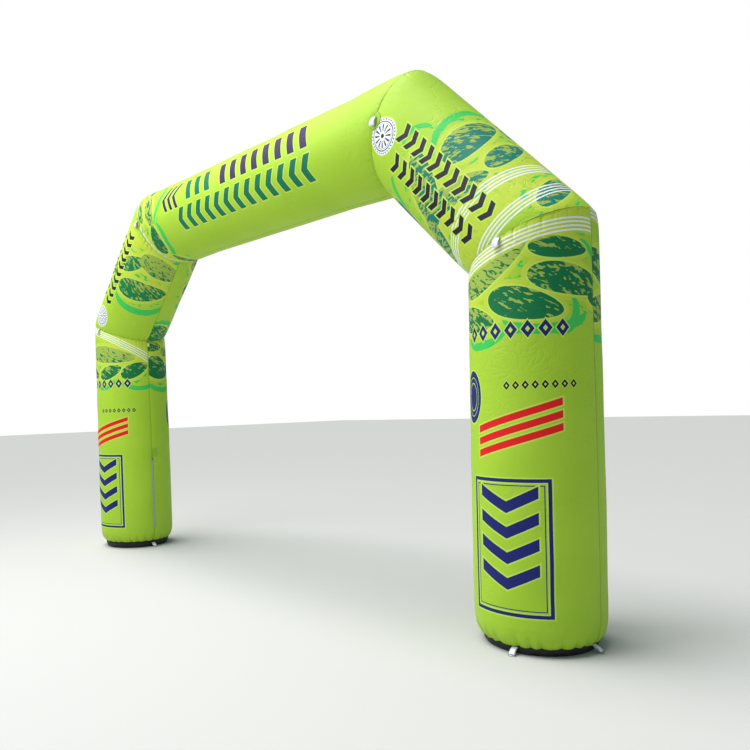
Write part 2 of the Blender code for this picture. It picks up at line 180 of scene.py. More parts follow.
class Stretch:
    # a straight stretch of the tube between two mitre planes

    def __init__(self, start, end, startNormal, endNormal, side):
        self.start = start
        self.ends = (start, startNormal, arch["gap"] / 2), (end, endNormal, -arch["gap"] / 2)
        self.along = (end - start).normalized()
        self.outward = Vector((side * self.along.z, 0, -side * self.along.x))

    def span(self, radius, cosine):
        # where the two mitres lie along the stretch, at a radius and an angle round it
        found = []
        for origin, normal, clearance in self.ends:
            slope = radius * cosine * self.outward.dot(normal)
            offset = (origin - self.start).dot(self.along)
            found.append(offset + (clearance - slope) / self.along.dot(normal))
        return found

    def places(self, distance, radius, angle, face):
        # the angle runs from the outer line round the given face
        across = radius * np.cos(angle)
        out = radius * np.sin(angle) + arch["gap"] / 2
        axis = distance[..., None] * np.array(self.along)
        sideways = across[..., None] * np.array(self.outward)
        facing = out[..., None] * np.array(front) * face
        return np.array(self.start) + axis + sideways + facing


def makeStretches():
    level = Vector((1, 0, 0))
    made, corners, normals = {}, {}, {}
    for name, side in sides.items():
        sole = Vector((side * arch["legX"], 0, 0))
        knee = sole + up * arch["kneeHeight"]
        corners[side] = Vector((side * arch["cornerX"], 0, arch["beamHeight"]))
        rise = (corners[side] - knee).normalized()
        kneeNormal = (up + rise).normalized()
        normals[side] = (rise - side * level).normalized()
        made["leg_" + name] = Stretch(sole, knee, up, kneeNormal, side)
        made["shoulder_" + name] = Stretch(knee, corners[side], kneeNormal, normals[side], side)
    made["beam"] = Stretch(corners[-1], corners[1], normals[-1], -normals[1], -1)
    return made


stretches = makeStretches()


def lineDistance(angle):
    return np.minimum(angle, math.pi - angle) * arch["radius"]


def mitreDraw(distance):
    return arch["mitreDraw"] * np.exp(-distance / arch["mitreReach"])


def lineDraw(angle):
    return arch["lineDraw"] * np.exp(-lineDistance(angle) / arch["lineReach"])


def ripple(place, shortest, longest, seed):
    # a smooth uneven wave from about -1 to 1
    numbers = np.random.default_rng(seed)
    total = np.zeros_like(place, dtype=float)
    waves = 7
    for _ in range(waves):
        length = shortest * (longest / shortest) ** numbers.random()
        total += np.sin(2 * np.pi * (place / length + numbers.random()))
    return total / math.sqrt(waves)


def lofted(name, rings, attributes=None, closed=False):
    # a closed skin through rings of points; closed joins the last ring to the first
    rings = np.asarray(rings, dtype=float)
    count, around, _ = rings.shape
    index = np.arange(count * around).reshape(count, around)
    beside, following = np.roll(index, -1, axis=1), np.roll(index, -1, axis=0)
    quads = np.stack([index, beside, np.roll(beside, -1, axis=0), following], axis=-1)
    skin = quads[:count if closed else count - 1].reshape(-1, 4).tolist()
    if not closed:
        skin += [index[0][::-1].tolist(), index[-1].tolist()]
    mesh = bpy.data.meshes.new(name)
    mesh.from_pydata(rings.reshape(-1, 3).tolist(), [], skin)
    for label, values in (attributes or {}).items():
        attribute = mesh.attributes.new(label, "FLOAT_VECTOR", "POINT")
        attribute.data.foreach_set("vector", np.asarray(values, dtype=np.float32).ravel())
    return mesh


def addPiece(name, mesh, finish, sharp=35, replaced=None):
    work = bmesh.new()
    work.from_mesh(mesh)
    bmesh.ops.recalc_face_normals(work, faces=work.faces)
    work.to_mesh(mesh)
    work.free()
    mesh.shade_smooth()
    mesh.set_sharp_from_angle(angle=math.radians(sharp))
    mesh.materials.append(finish)
    piece = addObject(name, mesh)
    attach(piece, "root")
    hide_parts(replaced or name)
    return piece


panel = {
    "columnStep": 0.010,
    "lineColumns": (0.0, 0.0015, 0.004, 0.008),  # from a lengthwise seam
    "rowStep": 0.012,
    "seamRows": (0.0, 0.002, 0.005, 0.009, 0.014, 0.021, 0.030, 0.040),  # from a mitre seam
    "pucker": (0.0034, 0.040),  # depth and reach of the creases at a mitre seam
    "linePucker": (0.0018, 0.022),  # and at a lengthwise seam
    "puckerWaves": (0.024, 0.090),
    "puckerStart": 0.006,
    "bendSlack": 1.3,  # more cloth inside a bend
    "swell": 0.0018,  # slow unevenness of the whole tube
    "swellWaves": ((0.35, 1.1), (0.5, 1.3)),  # along and round
    "pull": 0.0012,  # long slanting creases where the cloth is pulled
    "pullFrom": 0.9,
    "pullSlant": (0.8, 0.45),  # round and along
    "pullLean": 0.3,
    "pullWaves": ((0.10, 0.30), (0.5, 1.2)),  # of the creases, and of where they show
    "calmReach": 0.1,  # neither of them reaches a lengthwise seam
    "waist": 0.014,  # the beam is slimmer between its corners
    "waistFrom": (0.12, 0.55),
}


def columnAngles(step):
    half = math.pi * arch["radius"]
    lines = list(panel["lineColumns"])
    count = round((half - 2 * lines[-1]) / step)
    middle = np.linspace(lines[-1], half - lines[-1], count + 1)[1:-1]
    arcs = np.concatenate([lines, middle, [half - arc for arc in reversed(lines)]])
    return arcs / arch["radius"]


def spread(length, step, seamBefore, seamAfter):
    # places along a length, close together beside a seam
    first = list(panel["seamRows"]) if seamBefore else [0.0]
    last = [length - row for row in reversed(panel["seamRows"])] if seamAfter else [length]
    count = max(round((last[0] - first[-1]) / step), 1)
    middle = np.linspace(first[-1], last[0], count + 1)[1:-1]
    return np.concatenate([first, middle, last])


def puckers(distance, place, seed, depth, reach):
    # creases that start at a seam and die out away from it
    wave = ripple(place, *panel["puckerWaves"], seed)
    crease = np.maximum(wave, 0.0) ** 1.5
    rise = 1 - np.exp(-distance / panel["puckerStart"])
    return -depth * crease * rise * np.exp(-distance / reach)


def relief(distance, angle, toStart, toEnd, seed):
    # how far the cloth stands out from the plain drawn-in tube
    arc = angle * arch["radius"]
    total = np.zeros_like(distance)
    slack = 1 + panel["bendSlack"] * np.maximum(-np.cos(angle), 0)
    for number, toSeam in enumerate((toStart, toEnd), 1):
        total += slack * puckers(toSeam, arc, seed + number, *panel["pucker"])
    for number, line in enumerate((angle, math.pi - angle), 3):
        total += puckers(line * arch["radius"], distance, seed + number, *panel["linePucker"])
    (alongWaves, roundWaves), (creaseWaves, patchWaves) = panel["swellWaves"], panel["pullWaves"]
    slow = ripple(distance, *alongWaves, seed + 5) * ripple(arc, *roundWaves, seed + 6)
    slant = arc * panel["pullSlant"][0] + distance * panel["pullSlant"][1]
    slanting = np.maximum(ripple(slant, *creaseWaves, seed + 7) - panel["pullFrom"], 0)
    patches = np.maximum(ripple(distance - arc * panel["pullLean"], *patchWaves, seed + 8), 0)
    clear = 1 - np.exp(-lineDistance(angle) / panel["calmReach"])
    return total + clear * (panel["swell"] * slow - panel["pull"] * slanting * patches)


def panelPiece(name, stretch, face, distance, radius, angle, toStart, toEnd, finish):
    points = stretch.places(distance, radius, angle, face)
    across = (math.pi / 2 - angle) * arch["radius"]
    if not name.startswith("beam"):  # its print runs the same way on both faces
        across = across * face * math.copysign(1, stretch.outward.x)
    cloth = np.stack([across, distance, np.full_like(distance, face)], axis=-1)
    seams = np.stack([toStart, toEnd, lineDistance(angle)], axis=-1)
    mesh = lofted(name, points, {"cloth": cloth, "seams": seams})
    addPiece(name, mesh, finish)


def makeMitredPanel(name, stretch, face, finish, seed):
    angles = columnAngles(panel["columnStep"])
    drawn = lineDraw(angles)
    first, last = stretch.span(seamRadius - drawn, np.cos(angles))
    middleRun = float(np.mean(last - first))
    shares = spread(middleRun, panel["rowStep"], True, True)[:, None] / middleRun
    toStart, toEnd = shares * (last - first), (1 - shares) * (last - first)
    distance = first + toStart
    angle = np.broadcast_to(angles, distance.shape)
    radius = arch["radius"] - np.minimum(mitreDraw(toStart) + mitreDraw(toEnd), arch["mitreDraw"]) - drawn
    radius = radius + relief(distance, angle, toStart, toEnd, seed)
    if name.startswith("beam"):
        radius = radius - panel["waist"] * np.interp(np.minimum(toStart, toEnd), panel["waistFrom"], (0, 1))
    panelPiece(name, stretch, face, distance, radius, angle, toStart, toEnd, finish)


foot = {
    "profile": (  # height and radius of the inflated leg, clear of its gathers
        (0.044, 0.367), (0.062, 0.383), (0.088, 0.396), (0.120, 0.404), (0.165, 0.409),
        (0.240, 0.411), (0.500, 0.412), (1.200, 0.410), (1.850, 0.404),
    ),
    "gather": ((0.044, 1.0), (0.062, 0.92), (0.088, 0.62), (0.120, 0.30), (0.165, 0.10), (0.240, 0.0)),
    "plainHeight": 1.850,  # above this the rows fan out to the mitre
    "fineHeight": 0.320,  # below this the rows are close together
    "fineStep": 0.005,
    "plainStep": 0.020,
    "columnStep": 0.005,
    "kneeBlend": 0.060,
    "lineBlend": 0.030,  # the cloth keeps its place at a lengthwise seam
    "hemHeight": 0.044,
    "hemRise": {"left": 0.026, "right": 0.004},  # the ground panel swells and lifts the hem
    "riseReach": 0.26,
    "hemUnderside": (0.0523, 0.352),  # height and radius
    "gatherDepth": 0.018,
    "scallop": 0.006,
    "creaseWidth": 0.0042,  # of the held gathers
    "creaseRise": (0.030, 0.115),  # how far they are held above the hem
    "simHeight": 0.360,
    "simColumns": 400,
    "simRowStep": 0.0065,
    "simBlend": 0.08,
    "shiver": 0.0014,  # small unevenness that the cloth starts from
    "shiverWaves": (0.03, 0.11),
    "frames": 22,
    "pressure": 240.0,
    "stiffness": 30.0,
    "bending": 0.15,
    "damping": 12,
    "farthest": 0.016,  # that the cloth may move in the simulation
    "seeds": {"left": 11, "right": 23},
}
puffSpans = {  # degrees taken by each puff, from the outer line round to the inner one
    "left_front": (14, 9, 18, 12, 20, 9, 13, 16, 11, 19, 10, 15, 14),
    "left_back": (12, 17, 10, 15, 19, 11, 14, 9, 18, 13, 16, 10, 16),
    "right_front": (16, 10, 14, 19, 9, 12, 22, 10, 13, 9, 17, 12, 17),
    "right_back": (11, 18, 13, 9, 16, 21, 10, 14, 12, 17, 9, 16, 14),
}


def legRadius(height):
    heights, radii = zip(*foot["profile"], (arch["kneeHeight"], arch["radius"]))
    return np.interp(height, heights, radii)


def hemRise(sideName, height):
    low = foot["hemHeight"]
    share = np.interp(height, (0.0, low, low + foot["riseReach"]), (0.0, 1.0, 0.0))
    return foot["hemRise"][sideName] * share * share * (3 - 2 * share)


def gatherShare(height):
    return np.interp(height, *zip(*foot["gather"]))


def gatherTurns(sideName):
    # where the gathers are, from the outer line round the front and on round the back
    frontEdges = np.cumsum((0.0,) + puffSpans[sideName + "_front"])
    backEdges = np.cumsum((0.0,) + puffSpans[sideName + "_back"])
    return np.radians(np.concatenate([frontEdges, (360 - backEdges)[::-1][1:]]))


def fullness(sideName, turn):
    # 0 in a gather, 1 in the middle of a puff
    edges = gatherTurns(sideName)
    number = np.clip(np.searchsorted(edges, turn, side="right") - 1, 0, len(edges) - 2)
    share = (turn - edges[number]) / (edges[number + 1] - edges[number])
    return np.sqrt(np.clip(np.sin(np.pi * share), 0, 1))


def holding(sideName, height, turn):
    # how firmly the gathers hold the cloth: fully at the hem, and up each crease to its own height
    edges = gatherTurns(sideName)[:-1]
    away = np.abs(np.angle(np.exp(1j * (turn[..., None] - edges)))) * arch["radius"]
    nearest = away.argmin(axis=-1)
    numbers = np.random.default_rng(foot["seeds"][sideName] + 5)
    low, high = foot["creaseRise"]
    rise = (low + (high - low) * numbers.random(len(edges)))[nearest]
    across = np.exp(-(away.min(axis=-1) / foot["creaseWidth"]) ** 2)
    return across * np.exp(-((height - foot["hemHeight"]) / rise) ** 2)


def footShape(sideName):
    # radius, lift and slide of the gathered foot over a grid of heights and turns
    turns = np.linspace(0, 2 * math.pi, foot["simColumns"], endpoint=False)
    count = round((foot["simHeight"] - foot["hemHeight"]) / foot["simRowStep"])
    heights = np.linspace(foot["hemHeight"], foot["simHeight"], count + 1)
    height, turn = np.meshgrid(heights, turns, indexing="ij")
    pinch = gatherShare(height) * (1 - fullness(sideName, turn))
    radius = legRadius(height) - foot["gatherDepth"] * pinch
    lift = foot["scallop"] * pinch
    return heights, turns, *settleFoot(sideName, height, turn, radius, lift)


def ringPoints(radius, turn, height):
    return np.stack([radius * np.cos(turn), -radius * np.sin(turn), height], axis=-1)


def settleFoot(sideName, height, turn, radius, lift):
    # cloth cut as a straight tube, held in at its hem and blown up, so that it gathers itself
    share = gatherShare(height)
    cut = ringPoints(np.full_like(height, legRadius(foot["simHeight"])), turn, height)
    start = foot["shiver"] * ripple(turn * arch["radius"], *foot["shiverWaves"], foot["seeds"][sideName])
    gathered = ringPoints(radius + start * share, turn, height + lift)
    index = np.arange(height.size).reshape(height.shape)
    beside = np.roll(index, -1, axis=1)
    quads = np.stack([index[:-1], index[1:], beside[1:], beside[:-1]], axis=-1).reshape(-1, 4)
    mesh = bpy.data.meshes.new("settling")
    mesh.from_pydata(cut.reshape(-1, 3).tolist(), [], quads.tolist())
    cloth = addObject("settling", mesh)
    cutShape = cloth.shape_key_add(name="cut")
    startShape = cloth.shape_key_add(name="gathered")
    startShape.data.foreach_set("co", gathered.reshape(-1, 3).astype(np.float32).ravel())
    startShape.value = 1.0
    held = cloth.vertex_groups.new(name="held")
    firmness = np.round(holding(sideName, height, turn) * 8) / 8
    firmness[0] = firmness[-1] = 1.0
    for level in np.unique(firmness[firmness > 0]):
        held.add(index[firmness == level].tolist(), float(level), "REPLACE")
    blowUp(cloth, cutShape)
    move = settledPoints(cloth).reshape(gathered.shape) - gathered
    bpy.data.objects.remove(cloth)
    length = np.linalg.norm(move, axis=-1, keepdims=True)
    settled = gathered + move * np.minimum(1.0, foot["farthest"] / np.maximum(length, 1e-9))
    newRadius = np.hypot(settled[..., 0], settled[..., 1])
    swell = (newRadius - np.hypot(gathered[..., 0], gathered[..., 1])).mean(axis=1, keepdims=True)
    newRadius = newRadius - swell * (1 - share)  # the tube keeps the girth it was sewn to
    newTurn = np.arctan2(-settled[..., 1], settled[..., 0])
    slide = np.angle(np.exp(1j * (newTurn - turn)))
    print("foot", sideName, "gathered, moved up to", round(float(length.max()) * 1000, 1), "mm")
    return newRadius, settled[..., 2] - height, slide


def blowUp(cloth, cutShape):
    modifier = cloth.modifiers.new("cloth", "CLOTH")
    stiffness, damping = foot["stiffness"], foot["damping"]
    setAll(modifier.settings, {
        "quality": 6, "mass": 0.20, "air_damping": 2,
        "tension_stiffness": stiffness, "compression_stiffness": stiffness,
        "shear_stiffness": stiffness / 4, "bending_stiffness": foot["bending"],
        "tension_damping": damping, "compression_damping": damping,
        "vertex_group_mass": "held", "rest_shape_key": cutShape,
        "use_pressure": True, "uniform_pressure_force": foot["pressure"],
    })
    modifier.settings.effector_weights.gravity = 0.0
    scene = bpy.context.scene
    scene.frame_start = modifier.point_cache.frame_start = 1
    scene.frame_end = modifier.point_cache.frame_end = foot["frames"]
    for number in range(1, foot["frames"] + 1):
        scene.frame_set(number)


def settledPoints(cloth):
    evaluated = cloth.evaluated_get(bpy.context.evaluated_depsgraph_get())
    mesh = evaluated.to_mesh()
    places = np.zeros(len(mesh.vertices) * 3)
    mesh.vertices.foreach_get("co", places)
    evaluated.to_mesh_clear()
    return places


def onGrid(grid, heights, turns, height, turn):
    # reads a grid of heights and turns that closes on itself
    row = np.interp(height, heights, np.arange(len(heights)))
    column = (turn % (2 * math.pi)) / (2 * math.pi) * len(turns)
    lowRow = np.minimum(row.astype(int), len(heights) - 2)
    lowColumn = column.astype(int) % len(turns)
    nextColumn = (lowColumn + 1) % len(turns)
    rowShare, columnShare = row - lowRow, column - np.floor(column)
    lower = grid[lowRow, lowColumn] * (1 - columnShare) + grid[lowRow, nextColumn] * columnShare
    upper = grid[lowRow + 1, lowColumn] * (1 - columnShare) + grid[lowRow + 1, nextColumn] * columnShare
    return lower * (1 - rowShare) + upper * rowShare


def makeLegPanel(name, sideName, face, shape, finish, seed):
    stretch = stretches["leg_" + sideName]
    angles = columnAngles(foot["columnStep"])
    last = stretch.span(seamRadius - lineDraw(angles), np.cos(angles))[1]
    plainHeight = foot["plainHeight"]
    fine = np.arange(foot["hemHeight"], foot["fineHeight"], foot["fineStep"])
    plain = spread(plainHeight - foot["fineHeight"], foot["plainStep"], False, False) + foot["fineHeight"]
    topRun = float(np.mean(last)) - plainHeight
    shares = spread(topRun, panel["rowStep"], False, True)[1:] / topRun
    low = np.repeat(np.concatenate([fine, plain])[:, None], len(angles), axis=1)
    distance = np.concatenate([low, plainHeight + shares[:, None] * (last - plainHeight)])
    angle = np.broadcast_to(angles, distance.shape)
    toStart, toEnd = distance - foot["hemHeight"], last - distance
    lineShare = 1 - gatherShare(distance)
    drawn = lineDraw(angles) * lineShare
    full = legRadius(distance)
    full = full + (arch["radius"] - full) * np.clip(1 - toEnd / foot["kneeBlend"], 0, 1)
    away = np.full_like(distance, 9.0)
    radius = full - mitreDraw(toEnd) - drawn + relief(distance, angle, away, toEnd, seed) * lineShare
    heights, turns, *grids = shape
    turn = angle if face > 0 else 2 * math.pi - angle
    inFoot = np.clip(distance, heights[0], heights[-1])
    footRadius, lift, slide = (onGrid(grid, heights, turns, inFoot, turn) for grid in grids)
    blend = np.clip((foot["simHeight"] - distance) / foot["simBlend"], 0, 1)
    radius = radius * (1 - blend) + (footRadius - drawn) * blend
    lift = lift * blend + hemRise(sideName, distance)
    slide = slide * blend * np.clip(lineDistance(angle) / foot["lineBlend"], 0, 1) * face
    under = np.ones((1, len(angles)))
    underHeight, underRadius = foot["hemUnderside"]
    underHeight = underHeight + hemRise(sideName, underHeight)
    height = np.concatenate([under * underHeight, distance + lift])
    radius = np.concatenate([under * underRadius, radius])
    turned = np.concatenate([angles[None, :], angle + slide])
    toEnd = np.concatenate([toEnd[:1], toEnd])
    toStart = np.concatenate([under * 0, toStart])
    panelPiece(name, stretch, face, height, radius, turned, toStart, toEnd, finish)


ink = {  # red, green and blue, 0 to 255
    "lime": (162, 202, 48),
    "paleLime": (168, 206, 54),
    "yellowLime": (198, 212, 66),
    "halo": (190, 222, 84),
    "olive": (154, 180, 74),
    "leafGreen": (0, 112, 64),
    "leafTeal": (0, 120, 104),
    "leafMid": (0, 122, 66),
    "brightGreen": (60, 196, 88),
    "white": (232, 236, 242),
    "plum": (48, 32, 78),
    "teal": (0, 110, 78),
    "navy": (18, 28, 108),
    "charcoal": (30, 24, 42),
    "red": (222, 18, 22),
    "seamShade": (52, 78, 18),
    "thread": (122, 166, 42),
}
sewing = {
    "shade": 0.0030,  # reach of the dark line at a seam
    "mitreRows": (0.0065, 0.0135),  # of stitches, from the seam
    "lineRow": 0.0060,
    "thread": 0.0006,
    "stitch": (0.0065, 0.68),  # pitch, and the share of it that is thread
    "felled": (0.010, 0.0045),  # where the seam allowances lie underneath
    "weave": 3900,
    "crumples": ((8, 4, 0.0026), (55, 2, 0.0002)),  # scale, detail and depth
    "seamDepth": 0.0005,
    "threadDepth": 0.0004,
    "foldDepth": 0.0018,
}


clothGloss = {"Specular IOR Level": 0.26, "Sheen Weight": 0.02, "Sheen Roughness": 0.4}


def woven(across, along):
    return (across * sewing["weave"]).sine() * (along * sewing["weave"]).sine() * 0.00005


class Print(Finish):
    # printed cloth: inks painted one over another on the lime ground

    def __init__(self, name):
        super().__init__(name, clothGloss)
        self.cloth = self.attribute("cloth")
        self.across, self.along, _ = self.cloth.axes()
        self.toStart, self.toEnd, self.toLine = self.attribute("seams").axes()
        self.color = self.mixed(ink["lime"], ink["paleLime"], self.cloth.noise(1.7, 3).ramp(0.35, 0.65))

    def paint(self, name, mask):
        self.color = self.color.painted(ink[name], mask)

    def around(self, center, turn, size):
        # the two coordinates round a motif, turned and scaled with it
        return self.cloth.moved(center, turn, size).axes()[:2]

    def sewn(self):
        # the weave, the stitched seams and their shade, over any print
        cloth, across, along, toLine = self.cloth, self.across, self.along, self.toLine
        toMitre = self.toStart & self.toEnd
        self.paint("seamShade", (toMitre & toLine).ramp(0.0, sewing["shade"], 0.72, 0.0))
        first, second = (toMitre.near(row, sewing["thread"]) for row in sewing["mitreRows"])
        mitreFelled, lineFelled = sewing["felled"]
        lineRow = toLine.near(sewing["lineRow"], sewing["thread"]) * along.dashed(*sewing["stitch"])
        thread = (first | second) * across.dashed(*sewing["stitch"]) | lineRow * (toMitre > mitreFelled)
        self.paint("thread", thread * 0.8)
        felled = (toMitre < mitreFelled) | (toLine < lineFelled)
        coarse, fine = (cloth.noise(scale, detail) * depth for scale, detail, depth in sewing["crumples"])
        handled = cloth.noise(2.3, 1).ramp(0.42, 0.56)  # where the cloth was folded and packed
        folds = abs(cloth.noise(6.5, 2, (1, 1, 1), 1.5) - 0.5).ramp(0.0, 0.035, 1.0, 0.0) * handled
        height = woven(across, along) + (coarse + fine) + felled * sewing["seamDepth"]
        height = height - thread * sewing["threadDepth"] - folds * sewing["foldDepth"]
        return self.finished(self.color, cloth.noise(5, 2).ramp(0.3, 0.7, 0.50, 0.62), height)


leafShape = {
    "taper": 0.22,  # how much narrower the tip is than the heel
    "margins": (0.0, 0.010, 0.036, 0.085),  # of the blade, rim, yellow band and green flecks
    "bandStrength": 0.65,
    "crescentShift": 0.62,
    "fade": 0.9,  # the lower edge of a blade has fewer pale patches than the upper
    "fadeStrength": 0.13,
    "green": 0.555,  # where the mottling is below this, a blade is green
    "fleckFrom": 0.585,
    "ragged": 0.28,  # unevenness of a crescent's edge
    "crescentFrom": 0.06,
    "mottle": ((21, 0.7), (44, 0.8)),  # scale and twist of its two grains
    "mottleTurn": -0.45,
}


def ovalFrom(x, y, half, slim, margin=0.0):
    # above 0 inside an oval widened by a margin
    long, wide = 1 + margin / half, slim + margin / half
    return 1 - x * x / (long * long) - y * y / (wide * wide)


def widest(shapes):
    best = shapes[0]
    for shape in shapes[1:]:
        best = best | shape
    return best


def paintLeaves(sheet, layout, leafInk):
    # mottled blades with a thin rim, in a yellow band, with green flecks and crescents round about
    layers, ages, crescents = [], [], []
    for across, along, turn, half, slim, age in layout["leaves"]:
        x, y = sheet.around((across, along), math.radians(turn), half)
        y = y / (1 - x * leafShape["taper"])
        layers.append([ovalFrom(x, y, half, slim, margin) for margin in leafShape["margins"]])
        ages.append((layers[-1][0] > 0) * (y * leafShape["fade"] + 1 + age))
    blade, rim, band, gap = (widest(shapes) for shapes in zip(*layers))
    for across, along, turn, half, slim in layout["crescents"]:
        x, y = sheet.around((across, along), math.radians(turn), half)
        lower = y + slim * leafShape["crescentShift"]
        crescents.append(ovalFrom(x, y, half, slim) & (0 - ovalFrom(x, lower, half, slim)))
    grain = sheet.cloth.moved((0, 0), leafShape["mottleTurn"], 1.0)
    coarse, fine = (grain.noise(size, 0.5, (0.55, 1.5, 1), twist) for size, twist in leafShape["mottle"])
    patchy = coarse * 0.5 + fine * 0.5
    pale = patchy + (widest(ages) - 1) * leafShape["fadeStrength"]
    flecks = sheet.cloth.noise(20, 2, (0.6, 1.4, 1), 0.6)
    ragged = (flecks - 0.5) * leafShape["ragged"]
    sheet.paint("yellowLime", (band > 0) * leafShape["bandStrength"])
    sheet.paint("brightGreen", (gap > 0) * (band < 0) * (flecks > leafShape["fleckFrom"]))
    sheet.paint("brightGreen", (widest(crescents) + ragged > leafShape["crescentFrom"]) * (band < 0.25))
    sheet.paint("halo", rim > 0)
    sheet.paint("olive", blade > 0)
    sheet.paint(leafInk, (blade > 0) * (pale < leafShape["green"]))


markRims = {"row": 0.010, "frame": 0.009, "disc": 0.009}  # widths of the pale rims


def paintRow(sheet, row, above=0.0):
    # a row of slanted or pointed bars along the tube, each with a pale edge
    side = sheet.across - row["middle"]
    slanted = abs(side) if row["pointed"] else side
    fold = sheet.along - above + slanted * row["slant"]
    nearest = abs(((fold - row["start"]) / row["pitch"]).fraction() - 0.5) * row["pitch"]
    inRow = (fold > row["start"]) * (fold < row["start"] + row["count"] * row["pitch"])
    for name, grow in (("halo", markRims["row"]), (row["ink"], 0.0)):
        bars = (abs(side) < row["height"] / 2 + grow) * (nearest < row["bar"] / 2 + grow)
        sheet.paint(name, bars * inRow)


def paintDiamonds(sheet, row, above):
    fold = ((sheet.across - row["start"]) / row["pitch"]).fraction() - 0.5
    tall = abs(sheet.along - above) / (row["height"] / 2)
    reach = abs(fold) * 2 * row["pitch"] / row["width"] + tall
    inRow = (sheet.across > row["start"]) * (sheet.across < row["start"] + row["count"] * row["pitch"])
    for name, size in (("halo", 1.22), (row["ink"], 1), ("halo", 0.36)):
        sheet.paint(name, (reach < size) * inRow)


def paintStripes(sheet, toSeam, bands, ground=True):
    for band in bands:
        x = sheet.across | -band.get("straight", 1.0)  # straight beyond this, away from the middle
        bowed = band["from"] + x * band["slope"] - x * x * band["bow"]
        distance = (toSeam - bowed) / (x * band.get("fan", 0.0) + 1)
        width = band["count"] * band["pitch"]
        shown = sheet.across > -band.get("reach", 1.0)
        if ground:
            near = distance.ramp(width, width * band["blend"], leafShape["bandStrength"], 0)
            above = 1 if "fan" in band else distance.ramp(-width, -width / 2)
            sheet.paint("yellowLime", near * above * shown)
        line = distance.dashed(band["pitch"], band["line"] / band["pitch"])
        sheet.paint("white", (distance > 0) * (distance < width) * shown * line)


badgeMarks = {  # in shares of the badge's radius
    "rays": (12, 0.36, 0.43, 0.19),  # how many, the share of its turn that each fills, middle, half length
    "dots": (30, 0.42, 0.91, 0.040),
    "rings": ((0.78, 0.026), (0.68, 0.010)),  # middle and half width
    "hub": 0.12,
    "rim": 1.05,
}


def paintBadge(sheet, badge):
    x, y = sheet.around(badge["middle"], 0.0, badge["radius"])
    out = (x * x + y * y).root()
    turn = y.turnFrom(x)
    marks = out < badgeMarks["hub"]
    for middle, half in badgeMarks["rings"]:
        marks = marks | out.near(middle, half)
    for count, share, middle, half in (badgeMarks["rays"], badgeMarks["dots"]):
        marks = marks | turn.dashed(2 * math.pi / count, share) * out.near(middle, half)
    sheet.paint("halo", out < badgeMarks["rim"])
    sheet.paint("white", out < 1.0)
    sheet.paint("charcoal", marks)


def barRows(*rows):
    names = ("ink", "middle", "start", "count", "pitch", "bar", "height", "slant", "pointed")
    return [dict(zip(names, row)) for row in rows]


legRows = {
    "diamonds": (
        {"ink": "navy", "start": -0.27, "pitch": 0.100, "width": 0.080, "height": 0.105, "count": 7},
        {"ink": "charcoal", "start": 0.02, "pitch": 0.056, "width": 0.044, "height": 0.054, "count": 8},
    ),
    "bars": barRows(  # ink, middle, start, count, pitch, bar, height, slant, pointed
        ("red", 0.10, 0.0, 3, 0.075, 0.044, 0.54, -0.30, False),
        ("navy", 0.03, 0.36, 4, 0.155, 0.072, 0.38, -0.50, True),
    ),
    "disc": {"across": -0.25, "above": 0.310, "half": 0.165, "slim": 0.60, "rings": (0.72, 0.46),
             "ringHalf": 0.022},
    "frame": {"across": 0.03, "along": 0.66, "halfWidth": 0.255, "halfHeight": 0.405, "line": 0.011,
              "inner": 0.030, "innerLine": 0.003},
}
legPrints = {
    "right": {
        "leaves": (  # across, along, turn in degrees, half length, width for its length, age
            (0.375, 2.435, -4, 0.185, 0.34, -0.3), (0.445, 2.245, -10, 0.265, 0.34, 0.0),
            (0.16, 2.115, -13, 0.235, 0.40, -0.4), (-0.08, 2.365, 27, 0.29, 0.40, 0.9),
            (-0.22, 2.055, -10, 0.19, 0.42, 0.4), (-0.50, 2.33, -24, 0.20, 0.42, 0.2),
            (-0.52, 2.10, 18, 0.19, 0.40, 0.5), (0.65, 2.20, 60, 0.11, 0.60, -0.2),
        ),
        "crescents": (  # across, along, turn, half length, width for its length
            (0.29, 2.035, 182, 0.27, 0.40), (0.395, 2.040, 245, 0.130, 0.78),
            (-0.12, 1.950, 188, 0.18, 0.50), (0.53, 2.205, 165, 0.17, 0.42),
            (0.565, 2.385, -50, 0.12, 0.60), (-0.52, 1.96, 184, 0.20, 0.42),
        ),
        "stripes": (
            {"from": 0.020, "slope": 0.075, "bow": 0.0, "pitch": 0.024, "line": 0.0105, "count": 4,
             "blend": 1.1},
        ),
        "heights": (1.965, 1.635, 1.265),  # of the rows of diamonds and of the red bars
    },
    "left": {
        "leaves": (
            (0.17, 2.02, 18, 0.155, 0.46, 0.0), (0.465, 2.035, 24, 0.165, 0.46, -0.3),
            (0.15, 2.215, -8, 0.33, 0.28, 0.9), (-0.17, 2.03, -16, 0.16, 0.42, 0.2),
            (-0.48, 2.06, -12, 0.195, 0.66, -0.3), (-0.28, 2.27, 8, 0.16, 0.36, 0.6),
            (-0.57, 2.31, 0, 0.14, 0.44, 0.2),
        ),
        "crescents": (
            (0.52, 1.890, 184, 0.18, 0.50), (0.10, 1.885, 190, 0.14, 0.50), (-0.48, 1.885, 172, 0.21, 0.50),
        ),
        "stripes": (
            {"from": 0.022, "slope": -0.15, "bow": -0.56, "pitch": 0.0205, "line": 0.0075, "count": 4,
             "straight": 0.0, "fan": 0.7, "reach": 0.35, "blend": 1.5},
        ),
        "heights": (1.885, 1.580, 1.215),
    },
}


def paintFrame(sheet, spec):
    wide = abs(sheet.across - spec["across"]) - spec["halfWidth"]
    tall = abs(sheet.along - spec["along"]) - spec["halfHeight"]
    out = wide | tall
    sheet.paint("halo", abs(out) < spec["line"] + markRims["frame"])
    sheet.paint("navy", abs(out) < spec["line"])
    sheet.paint("navy", out.near(-spec["inner"], spec["innerLine"]))


